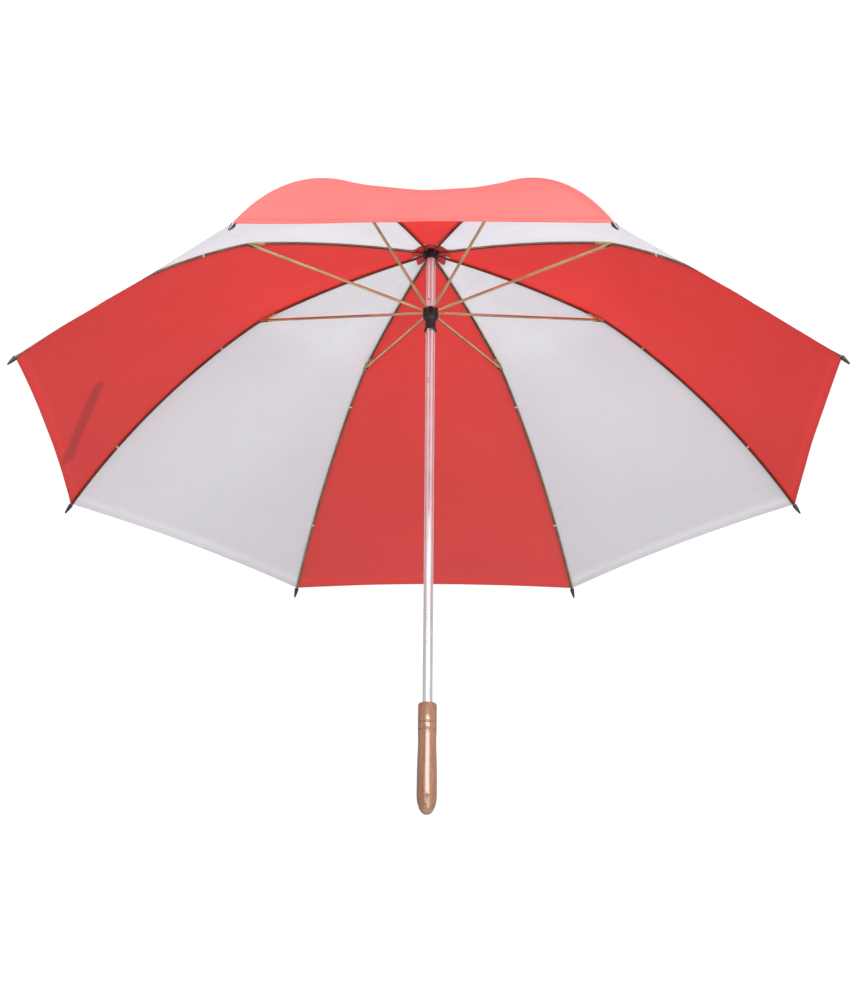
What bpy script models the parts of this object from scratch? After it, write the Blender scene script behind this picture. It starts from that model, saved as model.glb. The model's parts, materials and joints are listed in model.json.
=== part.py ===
"""Golf umbrella, open, standing upright on its own axis.

Metres, +Z up. The origin is the middle of the handle's lower end, on the axis of the shaft.
Rib 1 leaves the axis at 22.5 degrees from +X, and the ribs are numbered anticlockwise seen from above.
A stretcher is as long as the stretch of rib above it, and the runner's pivots lie at the radius of the
notch's pivots. So as the ribs turn down by an angle, each stretcher turns by twice that angle against
its rib, and the runner slides straight down the shaft without turning.
"""

import math

import bmesh
import bpy
from mathutils import Matrix, Vector

MM = 0.001
GAP = 0.0003

# The frame
RIB_COUNT = 8
GORE_ANGLE = 2 * math.pi / RIB_COUNT
HALF_GORE = GORE_ANGLE / 2
PIVOT_HEIGHT = 0.913
PIVOT_RADIUS = 10 * MM
INNER_CHORD = 0.2927
INNER_FALL = math.radians(10.2)
INNER_BEND = math.radians(11.6)
OUTER_CHORD = 0.4436
OUTER_FALL = math.radians(39.6)
OUTER_BEND = math.radians(27.0)

# Channel sections of the ribs and stretchers
CHANNEL_WALL = 0.6 * MM
RIB_WIDTH = 3.4 * MM
RIB_DEPTH = 3.0 * MM
STRETCHER_WIDTH = 3.8 * MM
STRETCHER_DEPTH = 3.2 * MM
TAB_THICKNESS = 1.2 * MM
TAB_RADIUS = 1.6 * MM
WIRE_RADIUS = 0.7 * MM
EYE_RADIUS = WIRE_RADIUS + GAP

# The pivot under each rib, from the middle outwards: tongue, fork, ears
PIN_RADIUS = 0.9 * MM
PIN_HALF_LENGTH = 3.4 * MM
PIN_HOLE_RADIUS = PIN_RADIUS + GAP
TONGUE_HALF = 0.8 * MM
FORK_INNER = TONGUE_HALF + GAP
FORK_OUTER = 1.85 * MM
EAR_INNER = 2.2 * MM
EAR_OUTER = 3.0 * MM
EAR_RADIUS = 2.1 * MM
EAR_HALF_HEIGHT = 1.7 * MM
SLEEVE_START = 10.5 * MM
SLEEVE_END = 24 * MM
SLEEVE_HALF_WIDTH = 2.9 * MM
SLEEVE_HALF_HEIGHT = 1.9 * MM
TONGUE_RADIUS = 1.9 * MM
TONGUE_HALF_HEIGHT = 1.4 * MM
FORK_LENGTH = 19 * MM
FORK_RADIUS = 2.0 * MM
FORK_HALF_HEIGHT = 1.5 * MM
INNER_RIB_START = 12 * MM
OUTER_RIB_START = 15 * MM
STRETCHER_START = 14 * MM
STRETCHER_END = 15 * MM
TAB_OVERLAP = 3 * MM

# Shaft, handle and what is fixed to the shaft
SHAFT_RADIUS = 7.0 * MM
SHAFT_WALL = 0.8 * MM
SHAFT_FIT = SHAFT_RADIUS + GAP
SHAFT_TOP = PIVOT_HEIGHT + 22 * MM
HANDLE_TOP = 0.1625
HANDLE_BORE_DEPTH = 61 * MM
# Radius and depth below the handle's top, in millimetres
HANDLE_PROFILE = (
    (12.0, 0.0),
    (13.4, 1.6),
    (13.4, 28.0),
    (12.6, 29.0),
    (13.4, 30.0),
    (13.4, 39.0),
    (12.6, 40.0),
    (13.2, 41.0),
    (12.9, 54.0),
    (13.7, 80.0),
    (14.2, 110.0),
    (14.3, 136.0),
    (13.6, 144.5),
    (11.6, 152.5),
    (8.6, 158.2),
    (5.0, 161.7),
    (3.0, 162.5),
)
SHAFT_FOOT = HANDLE_TOP - HANDLE_BORE_DEPTH + GAP
HANDLE_PIN_HEIGHT = HANDLE_TOP - 19 * MM
HANDLE_PIN_RADIUS = 1.25 * MM
HANDLE_PIN_REACH = 13 * MM
STOP_PIN_HEIGHT = PIVOT_HEIGHT - 85.5 * MM
STOP_PIN_RADIUS = 1.1 * MM
STOP_PIN_REACH = 8.3 * MM
CAP_EDGE_RADIUS = 17.5 * MM
CAP_RIM_THICKNESS = 0.6 * MM
CAP_THICKNESS = 1.4 * MM
CAP_DOME = 1.2 * MM
FERRULE_BASE = PIVOT_HEIGHT + 15 * MM
FERRULE_TIP = PIVOT_HEIGHT + 75 * MM

# Notch and runner
HUB_COLLAR = 8.1 * MM
SLOT_WIDTH = TAB_THICKNESS + 2 * GAP
RUNNER_DROP = 2 * INNER_CHORD * math.sin(INNER_FALL)
RUNNER_HEIGHT = PIVOT_HEIGHT - RUNNER_DROP
RUNNER_BOTTOM = 34.5 * MM
NOTCH_SLOTS = (-5 * MM, 2.2 * MM)
RUNNER_SLOTS = (-2.4 * MM, 6 * MM)
WINDOW_TOP = 20 * MM
WINDOW_BOTTOM = 31 * MM
WINDOW_WIDTH = 3.2 * MM
# Outlines as radius and height from the pivots, in millimetres, from the bore's top round to its bottom
NOTCH_PROFILE = ((11.9, 4.0), (12.5, 3.3), (12.5, -2.5), (8.1, -2.5), (8.1, -9.0))
RUNNER_HEAD = ((8.1, 3.5), (8.1, 2.8), (12.5, 2.8), (12.5, -9.0), (11.2, -14.0))
RUNNER_TUBE = ((8.6, -17.0), (8.6, -31.0), (10.2, -33.6), (10.2, -34.5))

# The two leaf springs that hold the runner
SPRING_AZIMUTH = math.radians(250)
SPRING_WIDTH = 2.0 * MM
SPRING_INNER = 5.8 * MM
SPRING_OUTER = 6.8 * MM
SPRING_PIVOT_RADIUS = 6.3 * MM
CATCH_RADIUS = 9.6 * MM
CATCH_LENGTH = 20 * MM
TOP_SPRING_LENGTH = 86 * MM
HAND_SPRING_LENGTH = 82 * MM
FOLD_ANGLE = math.radians(77)
CLOSED_RUNNER_HEIGHT = PIVOT_HEIGHT - 2 * INNER_CHORD * math.sin(INNER_FALL + FOLD_ANGLE)

# Canopy
FABRIC_THICKNESS = 1.0 * MM
FABRIC_OFFSET = 3.8 * MM
SEAM_GAP = 0.4 * MM
PANEL_SAG = 20 * MM
RIM_SCALLOP = 7 * MM
CROWN_LIFT = 7.2 * MM
CROWN_FLAT = 15 * MM
CROWN_SPREAD = 75 * MM
CUP_LENGTH = 17 * MM
CUP_RADIUS = 3.6 * MM
CUP_BORE = 2.8 * MM
CUP_SIDES = 8
CUP_DOME = 0.4 * MM
CUP_DEPTH = 9.5 * MM
ROSETTE_RADIUS = 28 * MM
ROSETTE_DENT = 0.14
ROSETTE_BOTTOM = 4.4 * MM
ROSETTE_THICKNESS = 0.6 * MM
STRAP_WIDTH = 25 * MM
STRAP_THICKNESS = 1.2 * MM
STRAP_CLEARANCE = 1.5 * MM

HUB_SEGMENTS = 24
SHARP_ANGLE = math.radians(35)


# ---------------------------------------------------------------- scene and objects


def clear_scene():
    for thing in list(bpy.data.objects):
        bpy.data.objects.remove(thing, do_unlink=True)


def material(name, color, roughness, metallic=0.0):
    made = bpy.data.materials.new(name)
    made.use_nodes = True
    shader = made.node_tree.nodes["Principled BSDF"]
    shader.inputs["Base Color"].default_value = (*color, 1.0)
    shader.inputs["Roughness"].default_value = roughness
    shader.inputs["Metallic"].default_value = metallic
    made.diffuse_color = (*color, 1.0)
    return made


def place(name, mesh, look, location=(0, 0, 0), azimuth=0.0, parent=None):
    """One named object, turned about its own vertical axis and set down at location."""
    made = bpy.data.objects.new(name, mesh)
    if not mesh.materials:
        mesh.materials.append(look)
    made.location = location
    made.rotation_euler = (0, 0, azimuth)
    made.parent = parent
    bpy.context.collection.objects.link(made)
    return made


def empty(name, location, azimuth=0.0):
    """A joint's axis marker; moving pieces hang from it."""
    made = bpy.data.objects.new(name, None)
    made.empty_display_size = 0.01
    made.location = location
    made.rotation_euler = (0, 0, azimuth)
    bpy.context.collection.objects.link(made)
    return made


# ---------------------------------------------------------------- mesh building blocks


def finished(name, work):
    """The bmesh as a smooth-shaded mesh with its faces pointing out."""
    bmesh.ops.recalc_face_normals(work, faces=work.faces)
    mesh = bpy.data.meshes.new(name)
    work.to_mesh(mesh)
    work.free()
    mesh.shade_smooth()
    mesh.set_sharp_from_angle(angle=SHARP_ANGLE)
    return mesh


def loft(name, rings):
    """Skin over rings of equally many points, closed by a face at each end."""
    work = bmesh.new()
    rows = [[work.verts.new(point) for point in ring] for ring in rings]
    for row, following in zip(rows, rows[1:]):
        for index, vertex in enumerate(row):
            beside = (index + 1) % len(row)
            work.faces.new((vertex, row[beside], following[beside], following[index]))
    work.faces.new(rows[0])
    work.faces.new(rows[-1])
    return finished(name, work)


def turned(name, outline, segments):
    """Solid of revolution about Z from (radius, height) points; a point on the axis closes an end."""
    work = bmesh.new()
    rows = []
    for radius, height in outline:
        if radius == 0:
            rows.append([work.verts.new((0, 0, height))])
            continue
        angles = [2 * math.pi * index / segments for index in range(segments)]
        rows.append(
            [work.verts.new((radius * math.cos(a), radius * math.sin(a), height)) for a in angles]
        )
    pairs = list(zip(rows, rows[1:]))
    if outline[0][0] != 0:
        pairs.append((rows[-1], rows[0]))
    for row, following in pairs:
        for index in range(segments):
            beside = (index + 1) % segments
            corners = [
                row[index % len(row)],
                row[beside % len(row)],
                following[beside % len(following)],
                following[index % len(following)],
            ]
            unique = list(dict.fromkeys(corners))
            work.faces.new(unique)
    return finished(name, work)


def plate(name, outline, low, high):
    """A flat plate: an outline of (x, z) points, from y = low to y = high."""
    rings = [[(x, y, z) for x, z in outline] for y in (low, high)]
    return loft(name, rings)


def tab_shape(center, length, head_radius, tail_half, direction, steps=5):
    """Outline of a plate with a round head about center and a square tail, along a direction in XZ."""
    ahead = Vector((math.cos(direction), math.sin(direction)))
    across = Vector((-ahead.y, ahead.x))
    points = []
    for step in range(steps + 1):
        angle = math.pi / 2 + math.pi * step / steps
        point = ahead * (head_radius * math.cos(angle)) + across * (head_radius * math.sin(angle))
        points.append((center[0] + point.x, center[1] + point.y))
    for side in (-1, 1):
        corner = ahead * length + across * (side * tail_half)
        points.append((center[0] + corner.x, center[1] + corner.y))
    return points


def rod(name, radius, start, end, segments=8):
    """A round bar between two points."""
    start = Vector(start)
    axis = Vector(end) - start
    turn = Vector((0, 0, 1)).rotation_difference(axis).to_matrix()
    rings = []
    for distance in (0.0, axis.length):
        ring = []
        for index in range(segments):
            angle = 2 * math.pi * (index + 0.5) / segments
            flat = Vector((radius * math.cos(angle), radius * math.sin(angle), distance))
            ring.append(start + turn @ flat)
        rings.append(ring)
    return loft(name, rings)


def block(name, low, high):
    """A box between two corners."""
    corners = [(low[0], low[2]), (high[0], low[2]), (high[0], high[2]), (low[0], high[2])]
    return plate(name, corners, low[1], high[1])


def joined_shells(name, meshes):
    """Several closed shells in one mesh, for use as one cutter."""
    work = bmesh.new()
    for mesh in meshes:
        work.from_mesh(mesh)
    return finished(name, work)


def turned_copy(mesh, azimuth):
    copy = mesh.copy()
    copy.transform(Matrix.Rotation(azimuth, 4, "Z"))
    return copy


def around_axis(name, mesh, first, count):
    """Copies of a mesh at equal steps about Z, in one mesh."""
    step = 2 * math.pi / count
    return joined_shells(name, [turned_copy(mesh, first + step * k) for k in range(count)])


def carve(name, base, additions=(), cuts=()):
    """The base mesh with the additions joined to it and the cuts taken away."""
    helpers = []
    body = bpy.data.objects.new(name + "_work", base)
    bpy.context.collection.objects.link(body)
    steps = [("UNION", mesh) for mesh in additions] + [("DIFFERENCE", mesh) for mesh in cuts]
    for operation, mesh in steps:
        helper = bpy.data.objects.new(name + "_helper", mesh)
        helper.hide_render = True
        helper.display_type = "WIRE"
        bpy.context.collection.objects.link(helper)
        helpers.append(helper)
        modifier = body.modifiers.new(operation.lower(), "BOOLEAN")
        modifier.operation = operation
        modifier.solver = "EXACT"
        modifier.object = helper
    depsgraph = bpy.context.evaluated_depsgraph_get()
    result = bpy.data.meshes.new_from_object(body.evaluated_get(depsgraph))
    result.name = name
    for thing in [body, *helpers]:
        bpy.data.objects.remove(thing, do_unlink=True)
    result.materials.clear()
    result.shade_smooth()
    result.set_sharp_from_angle(angle=SHARP_ANGLE)
    return result


# ---------------------------------------------------------------- rib and canopy curves


def arc_length(chord, bend):
    return chord * (bend / 2) / math.sin(bend / 2)


INNER_LENGTH = arc_length(INNER_CHORD, INNER_BEND)
OUTER_LENGTH = arc_length(OUTER_CHORD, OUTER_BEND)
FABRIC_LENGTH = INNER_LENGTH + OUTER_LENGTH - CUP_LENGTH - 2 * GAP


def along_arc(distance, chord, fall, bend):
    """(x, z, slope) on an arc that starts at the origin; slope is the angle below the horizontal."""
    length = arc_length(chord, bend)
    first = fall - bend / 2
    slope = first + bend * distance / length
    radius = length / bend
    x = radius * (math.sin(slope) - math.sin(first))
    z = radius * (math.cos(slope) - math.cos(first))
    return x, z, slope


def rib_point(distance):
    """(radius, height above the notch pivots, slope) of a rib's middle line."""
    if distance <= INNER_LENGTH:
        x, z, slope = along_arc(distance, INNER_CHORD, INNER_FALL, INNER_BEND)
        return PIVOT_RADIUS + x, z, slope
    knee_x, knee_z, _ = along_arc(INNER_LENGTH, INNER_CHORD, INNER_FALL, INNER_BEND)
    x, z, slope = along_arc(distance - INNER_LENGTH, OUTER_CHORD, OUTER_FALL, OUTER_BEND)
    return PIVOT_RADIUS + knee_x + x, knee_z + z, slope


KNEE_RADIUS, KNEE_DROP, _ = rib_point(INNER_LENGTH)
RIM_RADIUS = rib_point(FABRIC_LENGTH)[0]
STRAP_RIM_ACROSS = -0.52
STRAP_RIM_DISTANCE = FABRIC_LENGTH - 4 * MM
STRAP_FREE_ACROSS = 0.06
STRAP_FREE_DISTANCE = FABRIC_LENGTH - 116 * MM


def canopy_point(across, distance, height):
    """A point of a gore whose middle lies along +X, at the height of the notch pivots.

    across runs from -1 to 1 between the two ribs, distance along the ribs, and height is the
    clearance above the ribs' middle line.
    """
    bulge = 1 - across**2
    shortened = distance * (1 - RIM_SCALLOP / FABRIC_LENGTH * bulge)
    radius, level, slope = rib_point(shortened)
    radius += height * math.sin(slope)
    crown = max(0.0, 1 - max(0.0, radius - CROWN_FLAT) / CROWN_SPREAD)
    level += height * math.cos(slope) + CROWN_LIFT * crown**2
    share = min(radius / RIM_RADIUS, 1.0)
    sag = PANEL_SAG * math.sin(math.pi * share) * (1 - (1 - share) ** 6) * bulge
    half_width = radius * math.sin(HALF_GORE) - SEAM_GAP / 2 / math.cos(HALF_GORE)
    return Vector(
        (
            radius * math.cos(HALF_GORE) - sag * math.sin(slope),
            half_width * across,
            level - sag * math.cos(slope),
        )
    )


def rib_azimuth(number):
    return HALF_GORE + GORE_ANGLE * (number - 1)


# ---------------------------------------------------------------- ribs and stretchers


def channel_outline(width, depth, opens_down):
    """U section as (sideways, upward) points."""
    side = width / 2
    rise = depth / 2
    inside = side - CHANNEL_WALL
    floor = rise - CHANNEL_WALL
    points = [
        (-side, -rise),
        (-inside, -rise),
        (-inside, floor),
        (inside, floor),
        (inside, -rise),
        (side, -rise),
        (side, rise),
        (-side, rise),
    ]
    if opens_down:
        return points
    return [(sideways, -upward) for sideways, upward in points]


def channel(name, stations, outline):
    """A U section swept through (x, z, slope) stations in the XZ plane."""
    rings = []
    for x, z, slope in stations:
        up_x, up_z = math.sin(slope), math.cos(slope)
        rings.append([(x + rise * up_x, side, z + rise * up_z) for side, rise in outline])
    return loft(name, rings)


def eye_tab(name, direction, length):
    """The flat tab with a wire hole that a rib or stretcher ends in, about the origin."""
    shape = tab_shape((0, 0), length, TAB_RADIUS, RIB_DEPTH / 2 - 0.1 * MM, direction)
    return plate(name, shape, -TAB_THICKNESS / 2, TAB_THICKNESS / 2)


def cross_rod(name, radius, half_length, at=(0.0, 0.0)):
    """A round bar along Y through (x, z)."""
    return rod(name, radius, (at[0], -half_length, at[1]), (at[0], half_length, at[1]))


def inner_rib_mesh():
    """Notch pivot at the origin: eye tab, channel, and the bracket that holds the knee pivot."""
    first_slope = INNER_FALL - INNER_BEND / 2
    last_slope = INNER_FALL + INNER_BEND / 2
    begin = INNER_RIB_START
    finish = INNER_LENGTH - SLEEVE_START - 2 * MM
    count = 6
    stations = []
    for step in range(count + 1):
        distance = begin + (finish - begin) * step / count
        stations.append(along_arc(distance, INNER_CHORD, INNER_FALL, INNER_BEND))
    outline = channel_outline(RIB_WIDTH, RIB_DEPTH, opens_down=True)
    body = channel("inner_rib", stations, outline)
    knee = along_arc(INNER_LENGTH, INNER_CHORD, INNER_FALL, INNER_BEND)
    back = math.pi - last_slope
    sleeve = block(
        "sleeve",
        (-SLEEVE_END, -SLEEVE_HALF_WIDTH, -SLEEVE_HALF_HEIGHT),
        (-SLEEVE_START, SLEEVE_HALF_WIDTH, SLEEVE_HALF_HEIGHT),
    )
    sleeve.transform(Matrix.Rotation(last_slope, 4, "Y"))
    sleeve.transform(Matrix.Translation((knee[0], 0, knee[1])))
    ears = []
    for low, high in ((-EAR_OUTER, -EAR_INNER), (EAR_INNER, EAR_OUTER)):
        reach = SLEEVE_START + TAB_OVERLAP
        shape = tab_shape(knee[:2], reach, EAR_RADIUS, EAR_HALF_HEIGHT, back)
        ears.append(plate("ear", shape, low, high))
    pin = cross_rod("knee_pin", PIN_RADIUS, PIN_HALF_LENGTH, knee[:2])
    tab = eye_tab("rib_tab", -first_slope, begin + TAB_OVERLAP)
    eye = cross_rod("rib_eye", EYE_RADIUS, TAB_THICKNESS)
    return carve("inner_rib", body, [tab, sleeve, *ears, pin], [eye])


def outer_rib_mesh():
    """Knee pivot at the origin: tongue, then the channel out into the tip cup."""
    first_slope = OUTER_FALL - OUTER_BEND / 2
    finish = OUTER_LENGTH - CUP_LENGTH / 2
    count = 11
    stations = []
    for step in range(count + 1):
        distance = OUTER_RIB_START + (finish - OUTER_RIB_START) * step / count
        stations.append(along_arc(distance, OUTER_CHORD, OUTER_FALL, OUTER_BEND))
    outline = channel_outline(RIB_WIDTH, RIB_DEPTH, opens_down=True)
    body = channel("outer_rib", stations, outline)
    reach = OUTER_RIB_START + TAB_OVERLAP
    shape = tab_shape((0, 0), reach, TONGUE_RADIUS, TONGUE_HALF_HEIGHT, -first_slope)
    tongue = plate("tongue", shape, -TONGUE_HALF, TONGUE_HALF)
    hole = cross_rod("tongue_hole", PIN_HOLE_RADIUS, 2 * TONGUE_HALF)
    return carve("outer_rib", body, [tongue], [hole])


def stretcher_mesh():
    """Knee pivot at the origin, with the runner pivot inwards and below it."""
    inward = math.pi + INNER_FALL
    runner_x = INNER_CHORD * math.cos(inward)
    runner_z = INNER_CHORD * math.sin(inward)
    stations = []
    for distance in (STRETCHER_START, INNER_CHORD - STRETCHER_END):
        x = runner_x + distance * math.cos(INNER_FALL)
        z = runner_z + distance * math.sin(INNER_FALL)
        stations.append((x, z, -INNER_FALL))
    outline = channel_outline(STRETCHER_WIDTH, STRETCHER_DEPTH, opens_down=False)
    body = channel("stretcher", stations, outline)
    forks = []
    for low, high in ((-FORK_OUTER, -FORK_INNER), (FORK_INNER, FORK_OUTER)):
        shape = tab_shape((0, 0), FORK_LENGTH, FORK_RADIUS, FORK_HALF_HEIGHT, inward)
        forks.append(plate("fork", shape, low, high))
    tab = eye_tab("stretcher_tab", INNER_FALL, STRETCHER_START + TAB_OVERLAP)
    tab.transform(Matrix.Translation((runner_x, 0, runner_z)))
    eye = cross_rod("stretcher_eye", EYE_RADIUS, TAB_THICKNESS, (runner_x, runner_z))
    hole = cross_rod("fork_hole", PIN_HOLE_RADIUS, 2 * FORK_OUTER)
    return carve("stretcher", body, [*forks, tab], [eye, hole])


def tip_cup_mesh():
    """A pointed cup over the rib's end, built in the outer rib's frame."""
    outline = [
        (0, CUP_LENGTH),
        (1.1 * MM, CUP_LENGTH - CUP_DOME),
        (1.6 * MM, CUP_LENGTH - 1.5 * MM),
        (2.7 * MM, 9 * MM),
        (CUP_RADIUS, 4 * MM),
        (CUP_RADIUS, 0),
        (CUP_BORE, CUP_DOME),
        (CUP_BORE, CUP_DEPTH - CUP_DOME),
        (0, CUP_DEPTH),
    ]
    mesh = turned("tip_cup", outline, CUP_SIDES)
    x, z, slope = along_arc(OUTER_LENGTH - CUP_LENGTH / 2, OUTER_CHORD, OUTER_FALL, OUTER_BEND)
    mesh.transform(Matrix.Translation((0, 0, -CUP_LENGTH / 2)))
    mesh.transform(Matrix.Rotation(math.pi / 2 + slope, 4, "Y"))
    mesh.transform(Matrix.Translation((x, 0, z)))
    return mesh


# ---------------------------------------------------------------- canopy


def panel_mesh():
    """One gore as a thin closed solid, its middle along +X and the notch pivots at height 0."""
    across_count = 4
    along_count = 12
    knee_row = 5
    distances = [INNER_LENGTH * step / knee_row for step in range(knee_row + 1)]
    outer_rows = along_count - knee_row
    for step in range(1, outer_rows + 1):
        distances.append(INNER_LENGTH + (FABRIC_LENGTH - INNER_LENGTH) * step / outer_rows)
    work = bmesh.new()
    sheets = []
    for height in (FABRIC_OFFSET, FABRIC_OFFSET + FABRIC_THICKNESS):
        sheet = []
        for distance in distances:
            row = []
            for column in range(across_count + 1):
                across = 2 * column / across_count - 1
                row.append(work.verts.new(canopy_point(across, distance, height)))
            sheet.append(row)
        sheets.append(sheet)
    for sheet in sheets:
        for row, following in zip(sheet, sheet[1:]):
            for column in range(across_count):
                ring = (row[column], row[column + 1], following[column + 1], following[column])
                work.faces.new(ring)
    low, high = sheets
    for column in range(across_count):
        for end in (0, -1):
            pair = (low[end][column], low[end][column + 1])
            work.faces.new((*pair, high[end][column + 1], high[end][column]))
    for index in range(along_count):
        for end in (0, -1):
            pair = (low[index][end], low[index + 1][end])
            work.faces.new((*pair, high[index + 1][end], high[index][end]))
    return finished("canopy_panel", work)


def strap_point(along, side, height):
    """A point of the closing strap, which lies slantwise on the outside of its panel."""
    across = STRAP_RIM_ACROSS + (STRAP_FREE_ACROSS - STRAP_RIM_ACROSS) * along
    distance = STRAP_RIM_DISTANCE + (STRAP_FREE_DISTANCE - STRAP_RIM_DISTANCE) * along
    clearance = FABRIC_OFFSET + FABRIC_THICKNESS + STRAP_CLEARANCE + height
    middle = canopy_point(across, distance, clearance)
    step = 0.01
    ahead = canopy_point(
        across + (STRAP_FREE_ACROSS - STRAP_RIM_ACROSS) * step,
        distance + (STRAP_FREE_DISTANCE - STRAP_RIM_DISTANCE) * step,
        clearance,
    )
    rise = canopy_point(across, distance, clearance + MM) - middle
    sideways = (ahead - middle).cross(rise).normalized()
    return middle + sideways * side


def strap_mesh():
    """The closing strap as a thin closed solid, in the frame of its panel."""
    rings = []
    count = 6
    half = STRAP_WIDTH / 2
    for step in range(count + 1):
        along = step / count
        rings.append(
            [
                strap_point(along, -half, 0),
                strap_point(along, half, 0),
                strap_point(along, half, STRAP_THICKNESS),
                strap_point(along, -half, STRAP_THICKNESS),
            ]
        )
    return loft("strap", rings)


def rosette_mesh():
    """Scalloped disc between the notch and the canopy."""
    per_petal = 4
    count = RIB_COUNT * per_petal
    rings = []
    for height in (ROSETTE_BOTTOM, ROSETTE_BOTTOM + ROSETTE_THICKNESS):
        inner = []
        outer = []
        for index in range(count):
            angle = 2 * math.pi * index / count
            lobe = abs(math.cos(RIB_COUNT * angle / 2))
            radius = ROSETTE_RADIUS * (1 - ROSETTE_DENT * (1 - lobe))
            inner.append((SHAFT_FIT * math.cos(angle), SHAFT_FIT * math.sin(angle), height))
            outer.append((radius * math.cos(angle), radius * math.sin(angle), height))
        rings.append((inner, outer))
    work = bmesh.new()
    (low_in, low_out), (high_in, high_out) = rings
    rows = [[work.verts.new(p) for p in row] for row in (low_in, low_out, high_out, high_in)]
    for row, following in zip(rows, rows[1:] + rows[:1]):
        for index in range(count):
            beside = (index + 1) % count
            work.faces.new((row[index], row[beside], following[beside], following[index]))
    return finished("rosette", work)


# ---------------------------------------------------------------- hub pieces


def ring_outline(major, minor, count):
    """Round section of a wire ring as (radius, height) points, going clockwise."""
    points = []
    for index in range(count):
        angle = -2 * math.pi * (index + 0.5) / count
        points.append((major + minor * math.cos(angle), minor * math.sin(angle)))
    return points


def wire_ring_mesh(minor):
    return turned("wire_ring", ring_outline(PIVOT_RADIUS, minor, 6), HUB_SEGMENTS)


def slot_cutters(low, high):
    cutter = block("slot", (HUB_COLLAR, -SLOT_WIDTH / 2, low), (16 * MM, SLOT_WIDTH / 2, high))
    return around_axis("slots", cutter, HALF_GORE, RIB_COUNT)


def bored(profile):
    """The closed outline of a hub piece: its profile in millimetres, and the bore for the shaft."""
    points = [(radius * MM, height * MM) for radius, height in profile]
    return [(SHAFT_FIT, points[0][1]), *points, (SHAFT_FIT, points[-1][1])]


def notch_mesh():
    """Toothed disc with a collar under it; the pivots of the ribs are at height 0."""
    disc = turned("notch", bored(NOTCH_PROFILE), HUB_SEGMENTS)
    groove = wire_ring_mesh(WIRE_RADIUS + GAP)
    return carve("notch", disc, cuts=[slot_cutters(*NOTCH_SLOTS), groove])


def runner_mesh():
    """Sliding tube with a toothed head; the pivots of the stretchers are at height 0."""
    body = turned("runner", bored(RUNNER_HEAD + RUNNER_TUBE), HUB_SEGMENTS)
    groove = wire_ring_mesh(WIRE_RADIUS + GAP)
    window = block(
        "window",
        (5 * MM, -WINDOW_WIDTH / 2, -WINDOW_BOTTOM),
        (14 * MM, WINDOW_WIDTH / 2, -WINDOW_TOP),
    )
    window.transform(Matrix.Rotation(SPRING_AZIMUTH + math.pi, 4, "Z"))
    return carve("runner", body, cuts=[slot_cutters(*RUNNER_SLOTS), groove, window])


# ---------------------------------------------------------------- shaft, springs, handle


def leaf_spring_mesh(length, catch_up):
    """A flat spring with a catch at its far end, its pivot at the origin and its face towards +X.

    It is drawn in XZ with +X pointing away from the shaft's axis, and stands up from the pivot;
    with catch_up False it hangs down instead.
    """
    inner = SPRING_INNER - SPRING_PIVOT_RADIUS
    outer = SPRING_OUTER - SPRING_PIVOT_RADIUS
    catch = CATCH_RADIUS - SPRING_PIVOT_RADIUS
    way = 1 if catch_up else -1
    outline = [
        (inner, -0.8 * MM),
        (outer, -0.8 * MM),
        (outer, length - CATCH_LENGTH),
        (catch, length - 1.2 * MM),
        (catch, length),
        (inner, length),
    ]
    shape = [(x, way * z) for x, z in outline]
    return plate("leaf_spring", shape, -SPRING_WIDTH / 2, SPRING_WIDTH / 2)


def shaft_slot(low, high, azimuth):
    half = SPRING_WIDTH / 2 + GAP
    cutter = block("slot", (4.6 * MM, -half, low), (10 * MM, half, high))
    return turned_copy(cutter, azimuth)


def pin_hole(radius, height, azimuth):
    hole = rod("hole", radius, (-10 * MM, 0, height), (10 * MM, 0, height))
    return turned_copy(hole, azimuth)


TOP_CATCH = RUNNER_HEIGHT - RUNNER_BOTTOM - 2 * GAP
TOP_SPRING_PIVOT = TOP_CATCH - TOP_SPRING_LENGTH
HAND_CATCH = CLOSED_RUNNER_HEIGHT - WINDOW_BOTTOM + 1.4 * MM
HAND_SPRING_PIVOT = HAND_CATCH + HAND_SPRING_LENGTH


def shaft_mesh():
    outline = [
        (SHAFT_RADIUS - SHAFT_WALL, SHAFT_TOP),
        (SHAFT_RADIUS, SHAFT_TOP),
        (SHAFT_RADIUS, SHAFT_FOOT),
        (SHAFT_RADIUS - SHAFT_WALL, SHAFT_FOOT),
    ]
    tube = turned("shaft", outline, HUB_SEGMENTS)
    ends = 1.2 * MM
    cuts = [
        shaft_slot(TOP_SPRING_PIVOT - ends, TOP_CATCH + ends, SPRING_AZIMUTH),
        shaft_slot(HAND_CATCH - ends, HAND_SPRING_PIVOT + ends, SPRING_AZIMUTH + math.pi),
        pin_hole(STOP_PIN_RADIUS + GAP, STOP_PIN_HEIGHT, SPRING_AZIMUTH),
        pin_hole(HANDLE_PIN_RADIUS + GAP, HANDLE_PIN_HEIGHT, math.pi / 2),
    ]
    return carve("shaft", tube, cuts=cuts)


def handle_mesh():
    """Turned grip with two grooves, a slight waist and a round end, bored for the shaft."""
    floor = HANDLE_TOP - HANDLE_BORE_DEPTH
    outline = [(0, floor), (SHAFT_FIT, floor), (SHAFT_FIT, HANDLE_TOP)]
    outline += [(radius * MM, HANDLE_TOP - depth * MM) for radius, depth in HANDLE_PROFILE]
    outline.append((0, 0))
    grip = turned("handle", outline, HUB_SEGMENTS)
    reach = 20 * MM
    hole = rod(
        "hole",
        HANDLE_PIN_RADIUS + GAP,
        (0, -reach, HANDLE_PIN_HEIGHT),
        (0, reach, HANDLE_PIN_HEIGHT),
    )
    return carve("handle", grip, cuts=[hole])


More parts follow.
